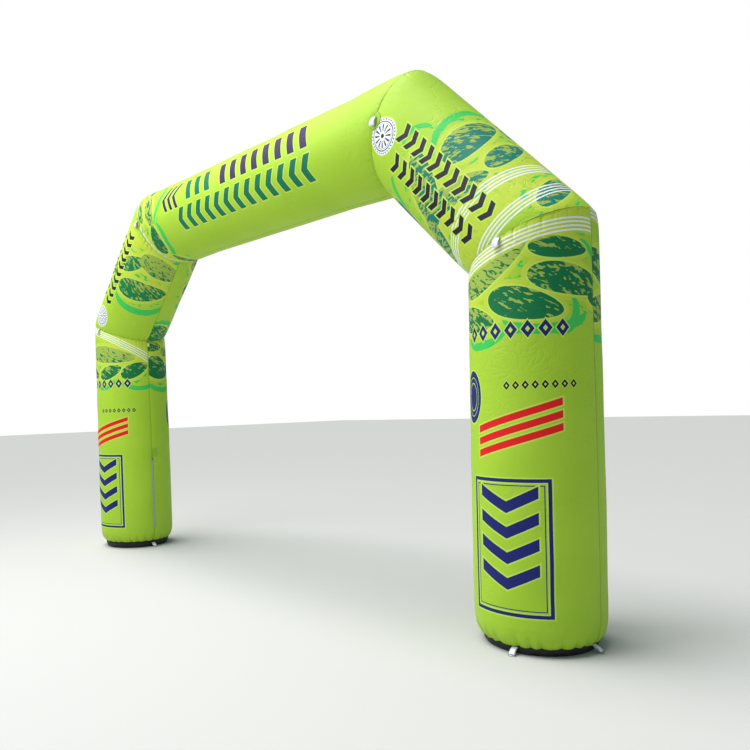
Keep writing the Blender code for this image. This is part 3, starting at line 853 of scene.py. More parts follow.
def paintDisc(sheet, above, disc):
    x, y = sheet.around((disc["across"], above + disc["above"]), math.pi / 2, disc["half"])
    oval = ovalFrom(x, y, disc["half"], disc["slim"])
    sheet.paint("halo", ovalFrom(x, y, disc["half"], disc["slim"], markRims["disc"]) > 0)
    sheet.paint("navy", oval > 0)
    for level in disc["rings"]:
        sheet.paint("halo", oval.near(level, disc["ringHalf"]))


def legFinish(sideName):
    layout = legPrints[sideName]
    sheet = Print(sideName + "LegCloth")
    paintLeaves(sheet, layout, "leafGreen")
    paintStripes(sheet, sheet.toEnd, layout["stripes"])
    for row, height in zip(legRows["diamonds"], layout["heights"]):
        paintDiamonds(sheet, row, height)
    paintFrame(sheet, legRows["frame"])
    paintDisc(sheet, layout["heights"][2], legRows["disc"])
    for row, height in zip(legRows["bars"], (layout["heights"][2], 0)):
        paintRow(sheet, row, height)
    return sheet.sewn()


def chevrons(*rows):
    # each row: where its middle is across the tube, where it starts along it, and how many
    shape = (0.092, 0.043, 0.130, -0.55, True)
    return barRows(*(("charcoal", *row, *shape) for row in rows))


shoulderPrints = {
    "right": {
        "leafInk": "leafTeal",
        "leaves": (
            (0.345, 0.70, 10, 0.235, 0.50, 0.1), (0.44, 0.45, 12, 0.175, 0.44, 0.1),
            (-0.10, 0.70, 58, 0.27, 0.42, 0.2), (0.03, 0.46, -22, 0.235, 0.34, 0.6),
            (-0.33, 0.44, 62, 0.20, 0.40, 0.5), (-0.50, 0.80, 70, 0.24, 0.40, 0.1),
            (0.50, 0.03, 22, 0.205, 0.38, 0.1),
        ),
        "crescents": (
            (0.37, 0.85, 8, 0.25, 0.42), (0.12, 0.99, -22, 0.12, 0.70), (-0.34, 0.80, 62, 0.27, 0.36),
        ),
        "stripes": (
            {"from": 0.010, "slope": 0.42, "bow": 0.30, "pitch": 0.024, "line": 0.0105, "count": 4},
            {"from": 0.265, "slope": 0.38, "bow": 0.40, "pitch": 0.024, "line": 0.0105, "count": 4},
        ),
        "rows": chevrons((0.075, 0.10, 11), (-0.115, 0.13, 10)),
        "badge": {"middle": (-0.035, 1.245), "radius": 0.125},
        "yellow": (0.28, 0.27, -1.0),  # middle and reach along the tube, start across it
    },
    "left": {
        "leafInk": "leafMid",
        "leaves": (
            (0.34, 0.75, 14, 0.285, 0.40, 0.0), (0.47, 1.08, -12, 0.25, 0.44, 0.9),
            (0.14, 0.99, 38, 0.19, 0.42, 0.2), (-0.20, 0.80, -20, 0.20, 0.42, 0.2),
            (-0.26, 1.12, -30, 0.19, 0.40, 0.7), (-0.51, 0.25, -18, 0.20, 0.60, 0.0),
        ),
        "crescents": (
            (0.36, 0.60, 188, 0.30, 0.46), (-0.22, 0.63, 176, 0.20, 0.40), (-0.50, 0.35, -12, 0.18, 0.50),
        ),
        "stripes": (),
        "rows": chevrons((-0.015, 0.33, 10), (-0.20, 0.33, 9)),
        "badge": {"middle": (-0.03, 0.165), "radius": 0.120},
        "yellow": (1.05, 0.30, -0.42),
    },
}


def shoulderFinish(sideName):
    layout = shoulderPrints[sideName]
    sheet = Print(sideName + "ShoulderCloth")
    middle, reach, start = layout["yellow"]
    inZone = abs(sheet.along - middle).ramp(reach, reach * 0.75)
    inZone = inZone * sheet.across.ramp(start - 0.04, start + 0.04)
    sheet.paint("yellowLime", inZone * 0.7)
    sheet.paint("paleLime", sheet.cloth.noise(30, 2, (1.6, 0.5, 1)).ramp(0.56, 0.60) * inZone)
    sheet.paint("yellowLime", (sheet.cloth.noise(24, 1.5, (1.0, 0.4, 1)) > 0.685) * 0.4)  # small flecks
    paintLeaves(sheet, layout, layout["leafInk"])
    paintStripes(sheet, sheet.toStart, layout["stripes"], False)
    for row in layout["rows"]:
        paintRow(sheet, row)
    paintBadge(sheet, layout["badge"])
    return sheet.sewn()


beamPrint = {
    "leaves": (
        (-0.25, 0.275, 6, 0.165, 0.48, -0.5), (0.11, 0.215, -20, 0.21, 0.30, 0.6),
        (0.15, 0.035, -24, 0.20, 0.22, 0.7), (0.47, 0.12, -6, 0.17, 0.40, 0.2),
        (-0.57, 0.34, -12, 0.12, 0.44, 0.4),
    ),
    "crescents": (
        (-0.28, 0.345, 10, 0.21, 0.50), (0.12, 0.34, 16, 0.24, 0.34), (0.48, 0.27, -4, 0.18, 0.40),
    ),
    "mitre": (  # bands along the seam at the left corner: from, to, ink, strength
        (0.006, 0.040, "white", 0.75), (0.040, 0.110, "yellowLime", 0.8),
    ),
    "rows": barRows(
        ("teal", 0.145, 0.86, 3, 0.155, 0.080, 0.225, 0.30, False),
        ("plum", 0.145, 1.42, 8, 0.155, 0.080, 0.225, 0.30, False),
        ("teal", -0.135, 0.72, 13, 0.150, 0.072, 0.225, -0.45, True),
        ("plum", 0.13, 0.44, 3, 0.095, 0.046, 0.28, -0.60, True),
    ),
}


def beamFinish():
    sheet = Print("beamCloth")
    for start, end, name, strength in beamPrint["mitre"]:
        sheet.paint(name, (sheet.toStart > start) * (sheet.toStart < end) * strength)
    paintLeaves(sheet, beamPrint, "leafGreen")
    for row in beamPrint["rows"]:
        paintRow(sheet, row)
    return sheet.sewn()


def makeTube():
    beamCloth = beamFinish()
    for sideName, side in sides.items():
        legCloth, shoulderCloth = legFinish(sideName), shoulderFinish(sideName)
        shape = footShape(sideName)
        for faceName, face in faces.items():
            seed = 1000 + 100 * side + 37 * face
            place = f"{sideName}_{faceName}"
            makeLegPanel("leg_" + place, sideName, face, shape, legCloth, seed)
            stretch = stretches["shoulder_" + sideName]
            makeMitredPanel("shoulder_" + place, stretch, face, shoulderCloth, seed + 10)
    for faceName, face in faces.items():
        makeMitredPanel("beam_" + faceName, stretches["beam"], face, beamCloth, 2000 + 37 * face)
    print("tube made: five stretches, front and back")


makeTube()


base = {
    "turns": (  # height and radius, from the middle of the underside up
        (0.0, 0.20), (0.0, 0.338), (0.0022, 0.3435), (0.006, 0.3475), (0.011, 0.3508), (0.017, 0.3538),
        (0.024, 0.3562), (0.032, 0.3569), (0.040, 0.3569), (0.046, 0.3556), (0.050, 0.3525), (0.052, 0.350),
    ),
    "columns": 300,
    "pucker": 0.0030,
    "puckerShare": ((0.0, 0.012, 0.040, 0.052), (0.0, 0.5, 1.0, 0.9)),  # heights, and the share at each
    "waves": (0.05, 0.16),
    "creases": (0.016, 0.045),
    "colors": ((20, 20, 22), (36, 36, 38)),
    "dustColor": (112, 106, 96),
    "dustRise": 0.018,
    "threadColor": (70, 70, 72),
    "threadHeight": 0.0405,
    "thread": 0.0005,
    "stitch": (0.006, 0.66),  # pitch, and the share of it that is thread
    "weave": 2600,
}


def baseFinish():
    finish = Finish("groundCloth", {"Specular IOR Level": 0.35})
    place = finish.place()
    x, y, z = place.axes()
    color = finish.mixed(*base["colors"], place.noise(6, 4).ramp(0.45, 0.7))
    dust = place.noise(30, 4).ramp(0.42, 0.75) * z.ramp(0.0, base["dustRise"], 0.55, 0.0)
    thread = z.near(base["threadHeight"], base["thread"]) * (x + y).dashed(*base["stitch"])
    color = color.painted(base["dustColor"], dust).painted(base["threadColor"], thread)
    weave = ((x + y) * base["weave"]).sine() * (z * base["weave"]).sine()
    height = weave * 0.00012 + place.noise(14, 4) * 0.0030 - thread * 0.0005
    return finish.finished(color, place.noise(9, 3).ramp(0.3, 0.7, 0.42, 0.68), height)


def makeBases():
    finish = baseFinish()
    turns = np.linspace(0, 2 * math.pi, base["columns"], endpoint=False)
    arc, girth = turns * arch["radius"], 2 * math.pi * arch["radius"]
    for name, side in sides.items():
        joinShare = np.sin(np.pi * np.minimum(arc, girth - arc) / girth)  # 0 where the rim is joined
        wave = ripple(arc, *base["waves"], 300 + side) * joinShare
        crease = np.maximum(ripple(arc, *base["creases"], 310 + side), 0) ** 2
        drawn = 0.5 * np.abs(wave) + 0.25 * crease
        rings = []
        for height, radius in base["turns"]:
            height = height + hemRise(name, height)
            out = radius - base["pucker"] * np.interp(height, *base["puckerShare"]) * drawn
            across, level = side * arch["legX"] + out * np.cos(turns), np.full_like(turns, height)
            rings.append(np.stack([across, out * np.sin(turns), level], axis=-1))
        addPiece("base_" + name, lofted("base_" + name, rings), finish)
    print("ground panels made")


makeBases()


strap = {
    "tie": {"width": 0.044, "length": 0.062, "depth": 0.020, "thickness": 0.0030, "root": 0.012,
            "neck": 0.030},
    "small": {"width": 0.022, "length": 0.034, "depth": 0.014, "thickness": 0.0025, "root": 0.007,
              "neck": 0.018},
    "ground": {"width": 0.036, "length": 0.060, "depth": 0.014, "thickness": 0.0025, "root": 0.007,
               "neck": 0.022},
    "edge": (-1, -0.975, -0.92, -0.5, 0, 0.5, 0.92, 0.975, 1.0),  # shares of half the width
    "swell": (0, 0.62, 0.94, 1.0, 0.97, 1.0, 0.94, 0.62, 0),  # and of half the thickness there
    "openAt": 0.62,  # share of the length at which the two layers are furthest apart
    "closeFrom": 0.55,
    "endGap": 0.0001,  # between the layers at the fold
    "rootPath": ((1.0, 0.004), (0.45, 0.0025)),  # into the seam: share of the root, and how far up
    "rootGap": 1.04,  # from layer to layer there, in thicknesses
    "tieLean": 9.0,
    "tieTwist": 0.16,
    "tieSway": 0.002,
    "tabTwist": 0.10,
    "groundLean": 50.0,
    "groundTop": (0.3575, 0.0415),  # radius from the axis of the leg, and height
    "tieStandOff": 0.0055,
    "cornerTieRise": 0.020,
    "belowKnee": 0.030,
    "standOff": 0.002,
    "colors": ((238, 239, 246), (220, 222, 230)),
    "edgeColor": (186, 184, 180),
    "edgeReach": 0.0022,
    "soilColor": (150, 140, 120),
    "threadColor": (150, 152, 160),
    "thread": 0.0007,
    "stitch": (0.0042, 0.65),  # pitch, and the share of it that is thread
    "stitchInset": 0.0042,
    "secondRow": 0.55,  # share of the way to the neck
    "ribPitch": 0.0019,
    "cordPitch": 0.0034,
}
groundPlaces = {  # side, and degrees round the leg from the front towards the outer line
    "right_front": (1, 6.0),
    "right_outer": (1, 90.0),
    "right_inner": (1, -90.0),
    "left_outer": (-1, 90.0),
    "left_inner": (-1, -90.0),
}


def strapLine(cut):
    # the middle of the folded strap, seen along its width: out and down
    thickness, length = cut["thickness"], cut["length"] - cut["thickness"] / 2
    closing = np.linspace(0, math.pi / 2, 14)
    straight = np.linspace(0, strap["closeFrom"], 12)[:-1]
    shares = np.concatenate([straight, strap["closeFrom"] + (1 - strap["closeFrom"]) * np.sin(closing)])
    rounding = np.concatenate([np.ones_like(straight), np.cos(closing)])
    down = shares * length
    opened = np.minimum(down / (strap["openAt"] * length), 1.0)
    depth = 2 * thickness + (cut["depth"] - 2 * thickness) * np.sin(math.pi / 2 * opened) ** 2
    half = ((depth - thickness) / 2 + strap["endGap"]) * rounding
    back = np.stack([depth / 2 - half, down], axis=-1)
    forward = np.stack([depth / 2 + half, down], axis=-1)[::-1][1:]
    root = np.array([[-cut["root"] * share, -rise] for share, rise in strap["rootPath"]])
    otherRoot = (root + np.array([thickness * strap["rootGap"], 0.0]))[::-1]
    return np.concatenate([root, back, forward, otherRoot])


def addStrap(name, kind, finish, origin, out, down, wide, twist=0.0, sway=0.0):
    cut = strap[kind]
    line = strapLine(cut)
    run = np.concatenate([[0.0], np.cumsum(np.linalg.norm(np.diff(line, axis=0), axis=1))])
    tangent = np.gradient(line, axis=0)
    tangent /= np.linalg.norm(tangent, axis=1, keepdims=True)
    top = np.stack([strap["edge"], strap["swell"]], axis=1) * (cut["width"] / 2, cut["thickness"] / 2)
    section = np.concatenate([top, (top * (1, -1))[1:-1][::-1]])
    rings, marks = [], []
    for (outwards, downwards), (tx, ty), place in zip(line, tangent, run):
        share = max(downwards, 0.0) / cut["length"]
        turned = twist * share ** 2
        sideways = wide * math.cos(turned) + out * math.sin(turned)
        middle = origin + out * outwards + down * downwards + wide * (sway * share ** 2)
        normal = out * ty - down * tx
        rings.append([tuple(middle + sideways * w + normal * v) for w, v in section])
        marks.append([(w, place, min(place, run[-1] - place)) for w, _ in section])
    addPiece(name, lofted(name, rings, {"strap": marks}), finish, 60)


def leaning(out, down, degrees):
    lean = math.radians(degrees)
    newDown = down * math.cos(lean) + out * math.sin(lean)
    newOut = out * math.cos(lean) - down * math.sin(lean)
    return newOut, newDown


def webbingFinish(name, kind):
    # with a row of stitches along each edge and two across its neck
    finish = Finish(name, {"Roughness": 0.7, "Sheen Weight": 0.25, "Sheen Roughness": 0.5})
    across, along, fromEnd = finish.attribute("strap").axes()
    half, neck = strap[kind]["width"] / 2, strap[kind]["neck"]
    stitch, thick = strap["stitch"], strap["thread"]
    grain = finish.place().noise(70, 3)
    soil = finish.place().noise(26, 4).ramp(0.5, 0.75, 0.0, 0.18)
    edgeRows = along.dashed(*stitch) * abs(across).near(half - strap["stitchInset"], thick)
    neckRows = fromEnd.near(neck, thick) | fromEnd.near(neck * strap["secondRow"], thick)
    thread = (edgeRows | across.dashed(*stitch) * neckRows) * (fromEnd < neck + 0.0008)
    color = finish.mixed(*strap["colors"], grain.ramp(0.4, 0.7))
    color = color.painted(strap["edgeColor"], abs(across).ramp(half - strap["edgeReach"], half) * 0.6)
    color = color.painted(strap["threadColor"], thread).painted(strap["soilColor"], soil)
    ribs = (along * (2 * math.pi / strap["ribPitch"])).sine() * 0.00010
    cords = (across * (2 * math.pi / strap["cordPitch"])).sine() * 0.00012
    height = ribs + cords + grain * 0.0003 - thread * 0.0005
    return finish.finished(color, grain.ramp(0.3, 0.7, 0.62, 0.82), height, 0.8)


def makeTies():
    finish = webbingFinish("tieWebbing", "tie")
    spots = {  # place across, height, depth, and which way the tie twists
        "knee": (arch["legX"], arch["kneeHeight"], seamRadius, 1),
        "corner": (arch["cornerX"], arch["beamHeight"] + strap["cornerTieRise"],
                   seamRadius + patch["clearance"] + patch["thickness"], -1),
    }
    for sideName, side in sides.items():
        for faceName, face in faces.items():
            out, down = leaning(front * face, -up, strap["tieLean"])
            for spot, (across, height, depth, way) in spots.items():
                top = Vector((side * across, 0, height)) + front * face * (depth + strap["tieStandOff"])
                twist, sway = strap["tieTwist"] * side * face * way, strap["tieSway"] * side * way
                name = f"tie_{spot}_{sideName}_{faceName}"
                addStrap(name, "tie", finish, top, out, down, Vector((1, 0, 0)), twist, sway)


def makeSmallTabs():
    finish = webbingFinish("tabWebbing", "small")
    for sideName, side in sides.items():
        seam = stretches["leg_" + sideName].span(seamRadius - arch["lineDraw"], -1.0)[1]
        top = innerLine(side, seam - strap["belowKnee"], strap["standOff"])
        out, wide = Vector((-side, 0, 0)), Vector((0, 1, 0))
        addStrap("tab_" + sideName, "small", finish, top, out, -up, wide, strap["tabTwist"])


ring = {
    "wire": 0.0048,
    "width": 0.046,  # between the wire's centres
    "depth": 0.024,
    "bow": 0.8,  # below 1, squarer than half a circle
    "droop": 25.0,
    "play": 0.0052,
    "sides": 12,
    "colors": ((176, 178, 182), (128, 126, 122)),
    "stain": (90, 0.45),  # scale, and where it starts
    "wear": (160, 0.22, 0.46),  # scale, and the roughness that it runs through
    "pits": (240, 0.5),  # scale and strength
}


def metalFinish(name, look):
    finish = Finish(name, {"Metallic": 1.0})
    place = finish.place()
    (stain, stainFrom), (wear, *roughness), (pits, strength) = look["stain"], look["wear"], look["pits"]
    color = finish.mixed(*look["colors"], place.noise(stain, 4).ramp(stainFrom, 0.7))
    rough = place.noise(wear, 3).ramp(0.3, 0.7, *roughness)
    return finish.finished(color, rough, place.noise(pits, 3) * 0.0003, strength)


def softened(path, rounds):
    # cuts the corners of a closed path
    for _ in range(rounds):
        after = np.roll(path, -1, axis=0)
        path = np.stack([path * 0.75 + after * 0.25, path * 0.25 + after * 0.75], axis=1).reshape(-1, 2)
    return path


def ringMesh(name, middle, wide, reach):
    half, thick = ring["width"] / 2, ring["wire"] / 2
    angles = np.linspace(0, math.pi, 14)
    bow = ring["depth"] * np.maximum(np.sin(angles), 0) ** ring["bow"]
    bar = np.array([[-half / 3, 0.0], [half / 3, 0.0]])
    path = softened(np.concatenate([np.stack([half * np.cos(angles), bow], axis=1), bar]), 2)
    tangent = np.roll(path, -1, axis=0) - np.roll(path, 1, axis=0)
    tangent /= np.linalg.norm(tangent, axis=1, keepdims=True)
    normal = wide.cross(reach).normalized()
    turns = [2 * math.pi * k / ring["sides"] for k in range(ring["sides"])]
    rings = []
    for (x, y), (tx, ty) in zip(path, tangent):
        center, sideways = middle + wide * x + reach * y, wide * ty - reach * tx
        rings.append([tuple(center + (sideways * math.cos(turn) + normal * math.sin(turn)) * thick)
                      for turn in turns])
    return lofted(name, rings, closed=True)


def makeGroundLoops():
    webbing = webbingFinish("groundWebbing", "ground")
    steel = metalFinish("ringSteel", ring)
    cut = strap["ground"]
    radius, height = strap["groundTop"]
    droop = math.radians(ring["droop"])
    for name, (side, degrees) in groundPlaces.items():
        angle = math.radians(degrees)
        out = Vector((side * math.sin(angle), -math.cos(angle), 0))
        wide = up.cross(out)
        top = Vector((side * arch["legX"], 0, height)) + out * radius
        leanOut, leanDown = leaning(out, -up, strap["groundLean"])
        addStrap("ground_loop_" + name, "ground", webbing, top, leanOut, leanDown, wide)
        eye = cut["length"] - cut["thickness"] - ring["wire"] / 2 - ring["play"]
        bar = top + leanDown * eye + leanOut * (cut["depth"] / 2)
        reach = out * math.cos(droop) - up * math.sin(droop)
        addPiece("ring_" + name, ringMesh("ring_" + name, bar, wide, reach), steel, 60)
    print("ties, tabs, ground loops and rings made")


zipper = {
    "foot": 0.225,
    "top": 1.005,
    "halfWidth": 0.0115,
    "tape": 0.0016,
    "tapeEdge": (-1, -0.97, -0.8, -0.4, 0, 0.4, 0.8, 0.97, 1.0),  # shares of half the width
    "tapeSwell": (0.3, 0.85, 1.0, 1.0, 0.96, 1.0, 1.0, 0.85, 0.3),  # and of the thickness there
    "toothPitch": 0.0024,
    "toothHalf": 0.0026,
    "toothOut": 0.0024,
    "toothShift": 0.0005,  # in turn to the left and the right
    "toothRadius": (0.0008, 0.0015),
    "toothSides": 6,
    "toothStations": ((-1.0, 0.55), (-0.82, 1.0), (0.0, 0.86), (0.82, 1.0), (1.0, 0.55)),
    "sliderHeight": 1.018,
    "sliderSize": (0.013, 0.020, 0.003),  # width, height and the radius of its corners
    "sliderWaist": 0.22,
    "sliderBody": (  # out, and share of the size
        (0.0, 0.90), (0.0006, 0.99), (0.0022, 1.0), (0.0038, 1.0), (0.0046, 0.93), (0.0048, 0.80),
    ),
    "sliderLift": 0.0005,
    "coilOut": 0.0040,
    "bridge": (0.0022, 0.0062),  # how far it bows out, and half its height
    "bridgeFoot": (0.0040, 0.001),  # out, and up from the slider's middle
    "bridgeRod": (0.0030, 0.0011, 0.0005),
    "pullSize": (0.0022, 0.008, 0.034),
    "pullSlot": (0.46, 0.34, 0.22),  # shares of the pull's width and length, and how far below its middle
    "pullCorners": (0.0035, 0.0017),
    "pullPlace": (0.0062, 0.003),
    "metal": {"colors": ((140, 142, 144), (96, 96, 96)), "stain": (150, 0.4), "wear": (220, 0.26, 0.50),
              "pits": (300, 0.4)},
    "tapeColors": ((176, 186, 184), (146, 158, 156)),
    "coilColors": ((198, 206, 204), (150, 158, 158)),
    "threadColor": (120, 160, 60),
    "threadRows": ((0.0090, 0.0005), (0.0064, 0.0004)),  # from the middle, and half thickness
    "stitch": (0.005, 0.66),  # pitch, and the share of it that is thread
    "weave": 4200,
}


def innerLine(side, height, standOff):
    return Vector((side * (arch["legX"] - float(legRadius(height)) - standOff), 0, height))


def atZip(side, height, standOff, points):
    # places given as out, across and up, from the inner line of a leg at a height
    middle = innerLine(side, height, patch["clearance"] + standOff).x
    return [(middle - side * out, across, height + rise) for out, across, rise in points]


def tapeFinish():
    finish = Finish("zipTape", {"Roughness": 0.65, "Sheen Weight": 0.2})
    _, y, z = finish.place().axes()
    grain = finish.place().noise(120, 3)
    outer, inner = (abs(y).near(row, half) for row, half in zipper["threadRows"])
    thread = (outer | inner) * z.dashed(*zipper["stitch"])
    color = finish.mixed(*zipper["tapeColors"], grain.ramp(0.4, 0.7)).painted(zipper["threadColor"], thread)
    height = (z * zipper["weave"]).sine() * 0.0001 + grain * 0.0002 - thread * 0.0004
    return finish.finished(color, grain.ramp(0.3, 0.7, 0.55, 0.75), height, 0.7)


def coilFinish():
    finish = Finish("zipCoil", {"Specular IOR Level": 0.5})
    grain = finish.place().noise(200, 3)
    color = finish.mixed(*zipper["coilColors"], grain.ramp(0.4, 0.75))
    return finish.finished(color, grain.ramp(0.3, 0.7, 0.28, 0.45))


def tapeMesh(name, side):
    across = np.array(zipper["tapeEdge"]) * zipper["halfWidth"]
    out = np.array(zipper["tapeSwell"]) * zipper["tape"]
    section = np.concatenate([np.stack([out, across, across * 0], 1),
                              np.stack([out * 0, across, across * 0], 1)[::-1]])
    heights = np.linspace(zipper["foot"], zipper["top"], 90)
    return lofted(name, [atZip(side, height, 0.0, section) for height in heights])


def coilMesh(name, side):
    # one rounded tooth after another, set in turn to the left and the right
    margin, half = 0.002, zipper["toothHalf"]
    count = int((zipper["top"] - zipper["foot"] - 2 * margin) / zipper["toothPitch"])
    turns = [2 * math.pi * k / zipper["toothSides"] for k in range(zipper["toothSides"])]
    low, high = zipper["toothRadius"]
    teeth = []
    for number in range(count):
        height = zipper["foot"] + margin + number * zipper["toothPitch"]
        shift = zipper["toothShift"] if number % 2 else -zipper["toothShift"]
        rings = []
        for across, thick in zipper["toothStations"]:
            points = [(math.cos(turn) * high * thick, across * half + shift, math.sin(turn) * low * thick)
                      for turn in turns]
            rings.append(atZip(side, height, zipper["toothOut"], points))
        teeth.append(lofted("tooth", rings))
    return joined(name, teeth)


def roundedOutline(width, height, corner, count=9):
    # points round a rectangle with rounded corners
    outline = []
    for cx, cy, start in ((1, 1, 0), (-1, 1, 90), (-1, -1, 180), (1, -1, 270)):
        for i in range(count):
            angle = math.radians(start + 90 * i / (count - 1))
            outline.append((cx * (width / 2 - corner) + corner * math.cos(angle),
                            cy * (height / 2 - corner) + corner * math.sin(angle)))
    return np.array(outline)


def sliderMesh(name, side):
    # a body that is broad at its mouth, a bridge over it, and a pull with a slot that hangs down
    def placed(points):
        return atZip(side, zipper["sliderHeight"], zipper["coilOut"] + zipper["sliderLift"], points)
    outline = roundedOutline(*zipper["sliderSize"])
    outline[:, 0] *= 1 - zipper["sliderWaist"] * np.clip(-outline[:, 1] / outline[:, 1].max(), 0, 1)
    body = [placed([(out, y * size, z * size) for y, z in outline]) for out, size in zipper["sliderBody"]]
    bridge = []
    (bow, halfHeight), (footOut, footUp) = zipper["bridge"], zipper["bridgeFoot"]
    for angle in np.linspace(0, math.pi, 12):
        sine, cosine = math.sin(angle), math.cos(angle)
        bridge.append(placed([(footOut + (bow + v) * sine, u, footUp + (halfHeight + v) * cosine)
                              for u, v in roundedOutline(*zipper["bridgeRod"], 4)]))
    thick, width, length = zipper["pullSize"]
    slotWidth, slotLength, slotDrop = zipper["pullSlot"]
    outer = roundedOutline(width, length, zipper["pullCorners"][0])
    inner = roundedOutline(width * slotWidth, length * slotLength, zipper["pullCorners"][1])
    inner = inner - np.array([0.0, length * slotDrop])
    pullOut, pullUp = zipper["pullPlace"]
    pull = [placed([(pullOut + out, y, pullUp - length / 2 + z) for y, z in loop])
            for loop, out in ((outer, 0), (outer, thick), (inner, thick), (inner, 0))]
    return joined(name, [lofted("body", body), lofted("bridge", bridge), lofted("pull", pull, closed=True)])


def joined(name, parts):
    work = bmesh.new()
    for mesh in parts:
        work.from_mesh(mesh)
        bpy.data.meshes.remove(mesh)
    mesh = bpy.data.meshes.new(name)
    work.to_mesh(mesh)
    work.free()
    return mesh


def makeZips():
    tape, coil = tapeFinish(), coilFinish()
    metal = metalFinish("zipMetal", zipper["metal"])
    for name, side in sides.items():
        tapeName, coilName, sliderName = (kind + name for kind in ("zip_", "zip_coil_", "zip_slider_"))
        addPiece(tapeName, tapeMesh(tapeName, side), tape, 50)
        addPiece(coilName, coilMesh(coilName, side), coil, 50, tapeName)
        addPiece(sliderName, sliderMesh(sliderName, side), metal, 40)
    print("zips made")


patch = {
    "radius": 0.060,
    "thickness": 0.0020,
    "clearance": 0.0008,
    "sides": 72,
    "zipWidth": 0.064,
    "zipFoot": 1.035,
    "zipTop": 1.135,
    "zipOffset": 0.006,  # from the seam
    "corner": 0.008,
    "stitchInset": 0.0055,
    "stitch": (0.0055, 0.66),  # pitch, and the share of it that is thread
    "thread": 0.0006,
    "haloReach": 0.0030,  # of the paler cloth beside the stitches
    "shade": (0.0006, 0.0018),  # of the dark line at the rim
    "colors": ((150, 194, 52), (140, 186, 48)),
    "threadColor": (90, 130, 40),
}
rimShares = (  # share of the way out, and of the thickness
    (0.0, 1.0), (0.25, 1.0), (0.5, 1.0), (0.72, 1.0), (0.86, 1.0), (0.94, 1.0), (0.978, 1.0),
    (0.993, 0.86), (1.0, 0.55), (1.0, 0.25), (0.992, 0.0),
)


def surfaceDepth(x, z):
    # how far the front of the tube stands from the middle plane
    best = 0.0
    for stretch in stretches.values():
        offset = Vector((x, 0, z)) - stretch.start
        distance = offset.dot(stretch.along)
        cosine = offset.dot(stretch.outward) / arch["radius"]
        if abs(cosine) >= 1:
            continue
        first, last = stretch.span(seamRadius, cosine)
        if first - 0.001 <= distance <= last + 0.001:
            inside = min(max(distance - first, 0.0), max(last - distance, 0.0))
            radius = arch["radius"] - mitreDraw(inside)
            best = max(best, math.sqrt(radius ** 2 - (cosine * arch["radius"]) ** 2))
    return best


def patchFinish(name):
    finish = Finish(name, clothGloss)
    place = finish.place()
    across, along, toRim = finish.attribute("patch").axes()
    inset, stitch = patch["stitchInset"], patch["stitch"]
    thread = toRim.near(inset, patch["thread"]) * (across.dashed(*stitch) | along.dashed(*stitch))
    color = finish.mixed(*patch["colors"], place.noise(22, 3).ramp(0.4, 0.7))
    color = color.painted(ink["halo"], toRim.near(inset, patch["haloReach"]) * 0.5)
    color = color.painted(patch["threadColor"], thread)
    color = color.painted(ink["seamShade"], toRim.ramp(*patch["shade"], 0.75, 0.0))
    height = woven(across, along) + place.noise(20, 4) * 0.0014 - thread * 0.0005
    return finish.finished(color, place.noise(9, 2).ramp(0.3, 0.7, 0.42, 0.58), height)


def addPatch(name, finish, outline, place):
    # a thin piece with a rounded rim: rings from its back's middle out to the rim and over its front
    rings, marks = [], []
    inradius = np.linalg.norm(outline, axis=1).min()
    for share, thick in [(s, 0.0) for s, _ in rimShares if s < 0.99] + list(reversed(rimShares)):
        size = max(share, 0.02)
        standOff = patch["clearance"] + thick * patch["thickness"]
        rings.append([tuple(place(u * size, v * size, standOff)) for u, v in outline])
        marks.append([(u * size, v * size, (1 - size) * inradius) for u, v in outline])
    piece = addPiece(name, lofted(name, rings, {"patch": marks}), finish, 60)


def makePatches():
    finish = patchFinish("patchCloth")
    radius, width, height = patch["radius"], patch["zipWidth"], patch["zipTop"] - patch["zipFoot"]
    turns = np.linspace(0, 2 * math.pi, patch["sides"], endpoint=False)
    disc = np.stack([np.cos(turns), np.sin(turns)], axis=1) * radius
    oblong = roundedOutline(width, height, patch["corner"])
    for sideName, side in sides.items():
        for faceName, face in faces.items():
            def onCorner(u, v, standOff):
                x, z = side * arch["cornerX"] + u, arch["beamHeight"] + v
                return (x, -face * (surfaceDepth(x, z) + standOff), z)
            name = f"patch_{sideName}_{faceName}"
            addPatch(name, finish, disc, onCorner)

        def besideZip(u, v, standOff):
            level = (patch["zipTop"] + patch["zipFoot"]) / 2 + v
            angle = (patch["zipOffset"] + width / 2 + u) / arch["radius"]
            out = float(legRadius(level)) + standOff
            return (side * (arch["legX"] - out * math.cos(angle)), out * math.sin(angle), level)
        addPatch("zip_patch_" + sideName, finish, oblong, besideZip)
    print("patches made")


makeTies()
makeSmallTabs()
makeGroundLoops()
makeZips()
makePatches()


camera = {
    "place": (5.1112, -4.1707, 1.5298),
    "turn": 0.8385,  # radians to the left of straight ahead
    "pitch": -0.0253,
    "roll": 0.0302,
    "focal": 718.90,  # pixels, in a picture 750 pixels wide
    "width": 750,
    "middle": (309.15, 427.36),
    "sensor": 36.0,
}


def makeCamera():
    width, (x, y) = camera["width"], camera["middle"]
    data = bpy.data.cameras.new("camera")
    setAll(data, {
        "sensor_width": camera["sensor"], "lens": camera["sensor"] * camera["focal"] / width,
        "shift_x": (width / 2 - x) / width, "shift_y": (y - width / 2) / width, "clip_end": 200,
    })
    turn = Matrix.Rotation(camera["turn"], 3, "Z")
    pitch = Matrix.Rotation(camera["pitch"], 3, "X")
    roll = Matrix.Rotation(camera["roll"], 3, "Y")
    right, ahead, above = (turn @ pitch @ roll).col
    pose = Matrix((right, above, -ahead)).transposed().to_4x4()
    pose.translation = Vector(camera["place"])
    eye = addObject("camera", data)
    eye.matrix_world = pose
    bpy.context.scene.camera = eye


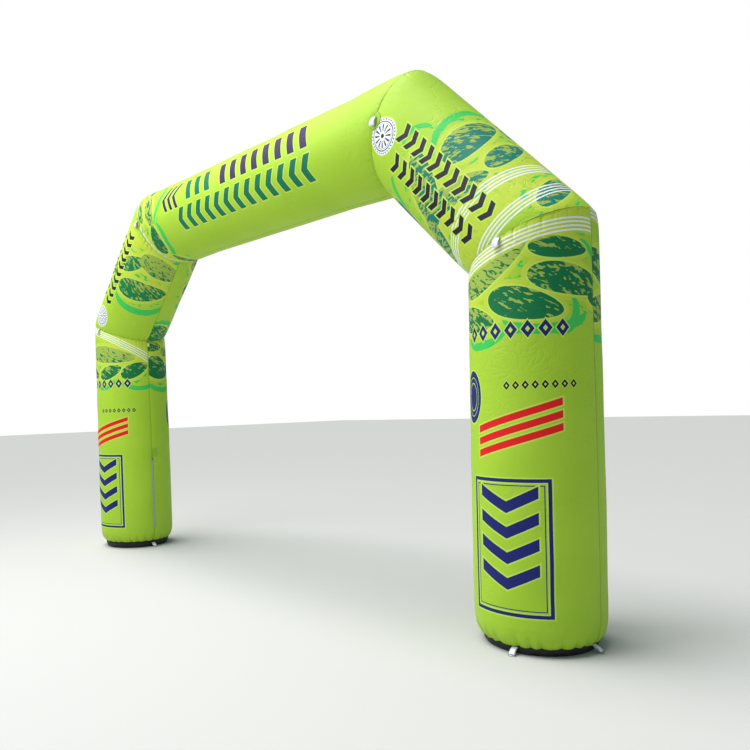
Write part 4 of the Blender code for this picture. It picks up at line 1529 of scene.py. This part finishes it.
light = {
    "sky": (0.76, 0.98, 0.98, 1.0),
    "skyStrength": 0.32,
    "backdrop": (1.0, 1.0, 1.0, 1.0),  # what the camera sees behind the arch
    "sun": {"energy": 3.4, "color": (1.0, 0.98, 0.93), "angle": math.radians(40.0)},
    "sunFrom": (-0.24, -0.16, 0.94),
    "panel": {"energy": 290.0, "size": 5.0},
    "panelPlace": (-1.0, -4.0, 6.0),
    "panelAim": (0.0, 0.0, 2.0),
    "floor": (190, 189, 190),
    "floorSize": 60.0,
    "floorGap": 0.0005,
}


def makeWorld():
    world = bpy.data.worlds.new("studio")
    world.use_nodes = True
    tree = world.node_tree
    sky = Socket(tree, tree.nodes["Background"].outputs[0])
    for name, value in (("Color", light["sky"]), ("Strength", light["skyStrength"])):
        tree.nodes["Background"].inputs[name].default_value = value
    backdrop = Socket(tree).add("ShaderNodeBackground", None, {"Color": light["backdrop"]})
    seen = Socket(tree).add("ShaderNodeLightPath")
    both = seen.add("ShaderNodeMixShader", None, {0: seen, 1: sky, 2: backdrop})
    tree.links.new(both.link, tree.nodes["World Output"].inputs["Surface"])
    bpy.context.scene.world = world


def addLight(name, kind, direction, settings):
    data = bpy.data.lights.new(name, kind)
    setAll(data, settings)
    lamp = addObject(name, data)
    lamp.rotation_euler = Vector(direction).to_track_quat("Z", "Y").to_euler()
    return lamp


def makeLight():
    makeWorld()
    addLight("sun", "SUN", light["sunFrom"], light["sun"])
    towards = Vector(light["panelPlace"]) - Vector(light["panelAim"])
    softPanel = addLight("softPanel", "AREA", towards, light["panel"])
    softPanel.location = light["panelPlace"]


def makeFloor():
    size = light["floorSize"]
    mesh = bpy.data.meshes.new("floor")
    corners = [(-size, -size, 0), (size, -size, 0), (size, size, 0), (-size, size, 0)]
    mesh.from_pydata(corners, [], [(0, 1, 2, 3)])
    paint = {"Roughness": 0.9, "Base Color": srgb(*light["floor"])}
    mesh.materials.append(Finish("floorPaint", paint).material)
    floor = addObject("floor", mesh)
    floor.location.z = -light["floorGap"]


makeCamera()
makeLight()
makeFloor()
bpy.context.scene.view_settings.view_transform = "Standard"
print("camera, light and floor made")
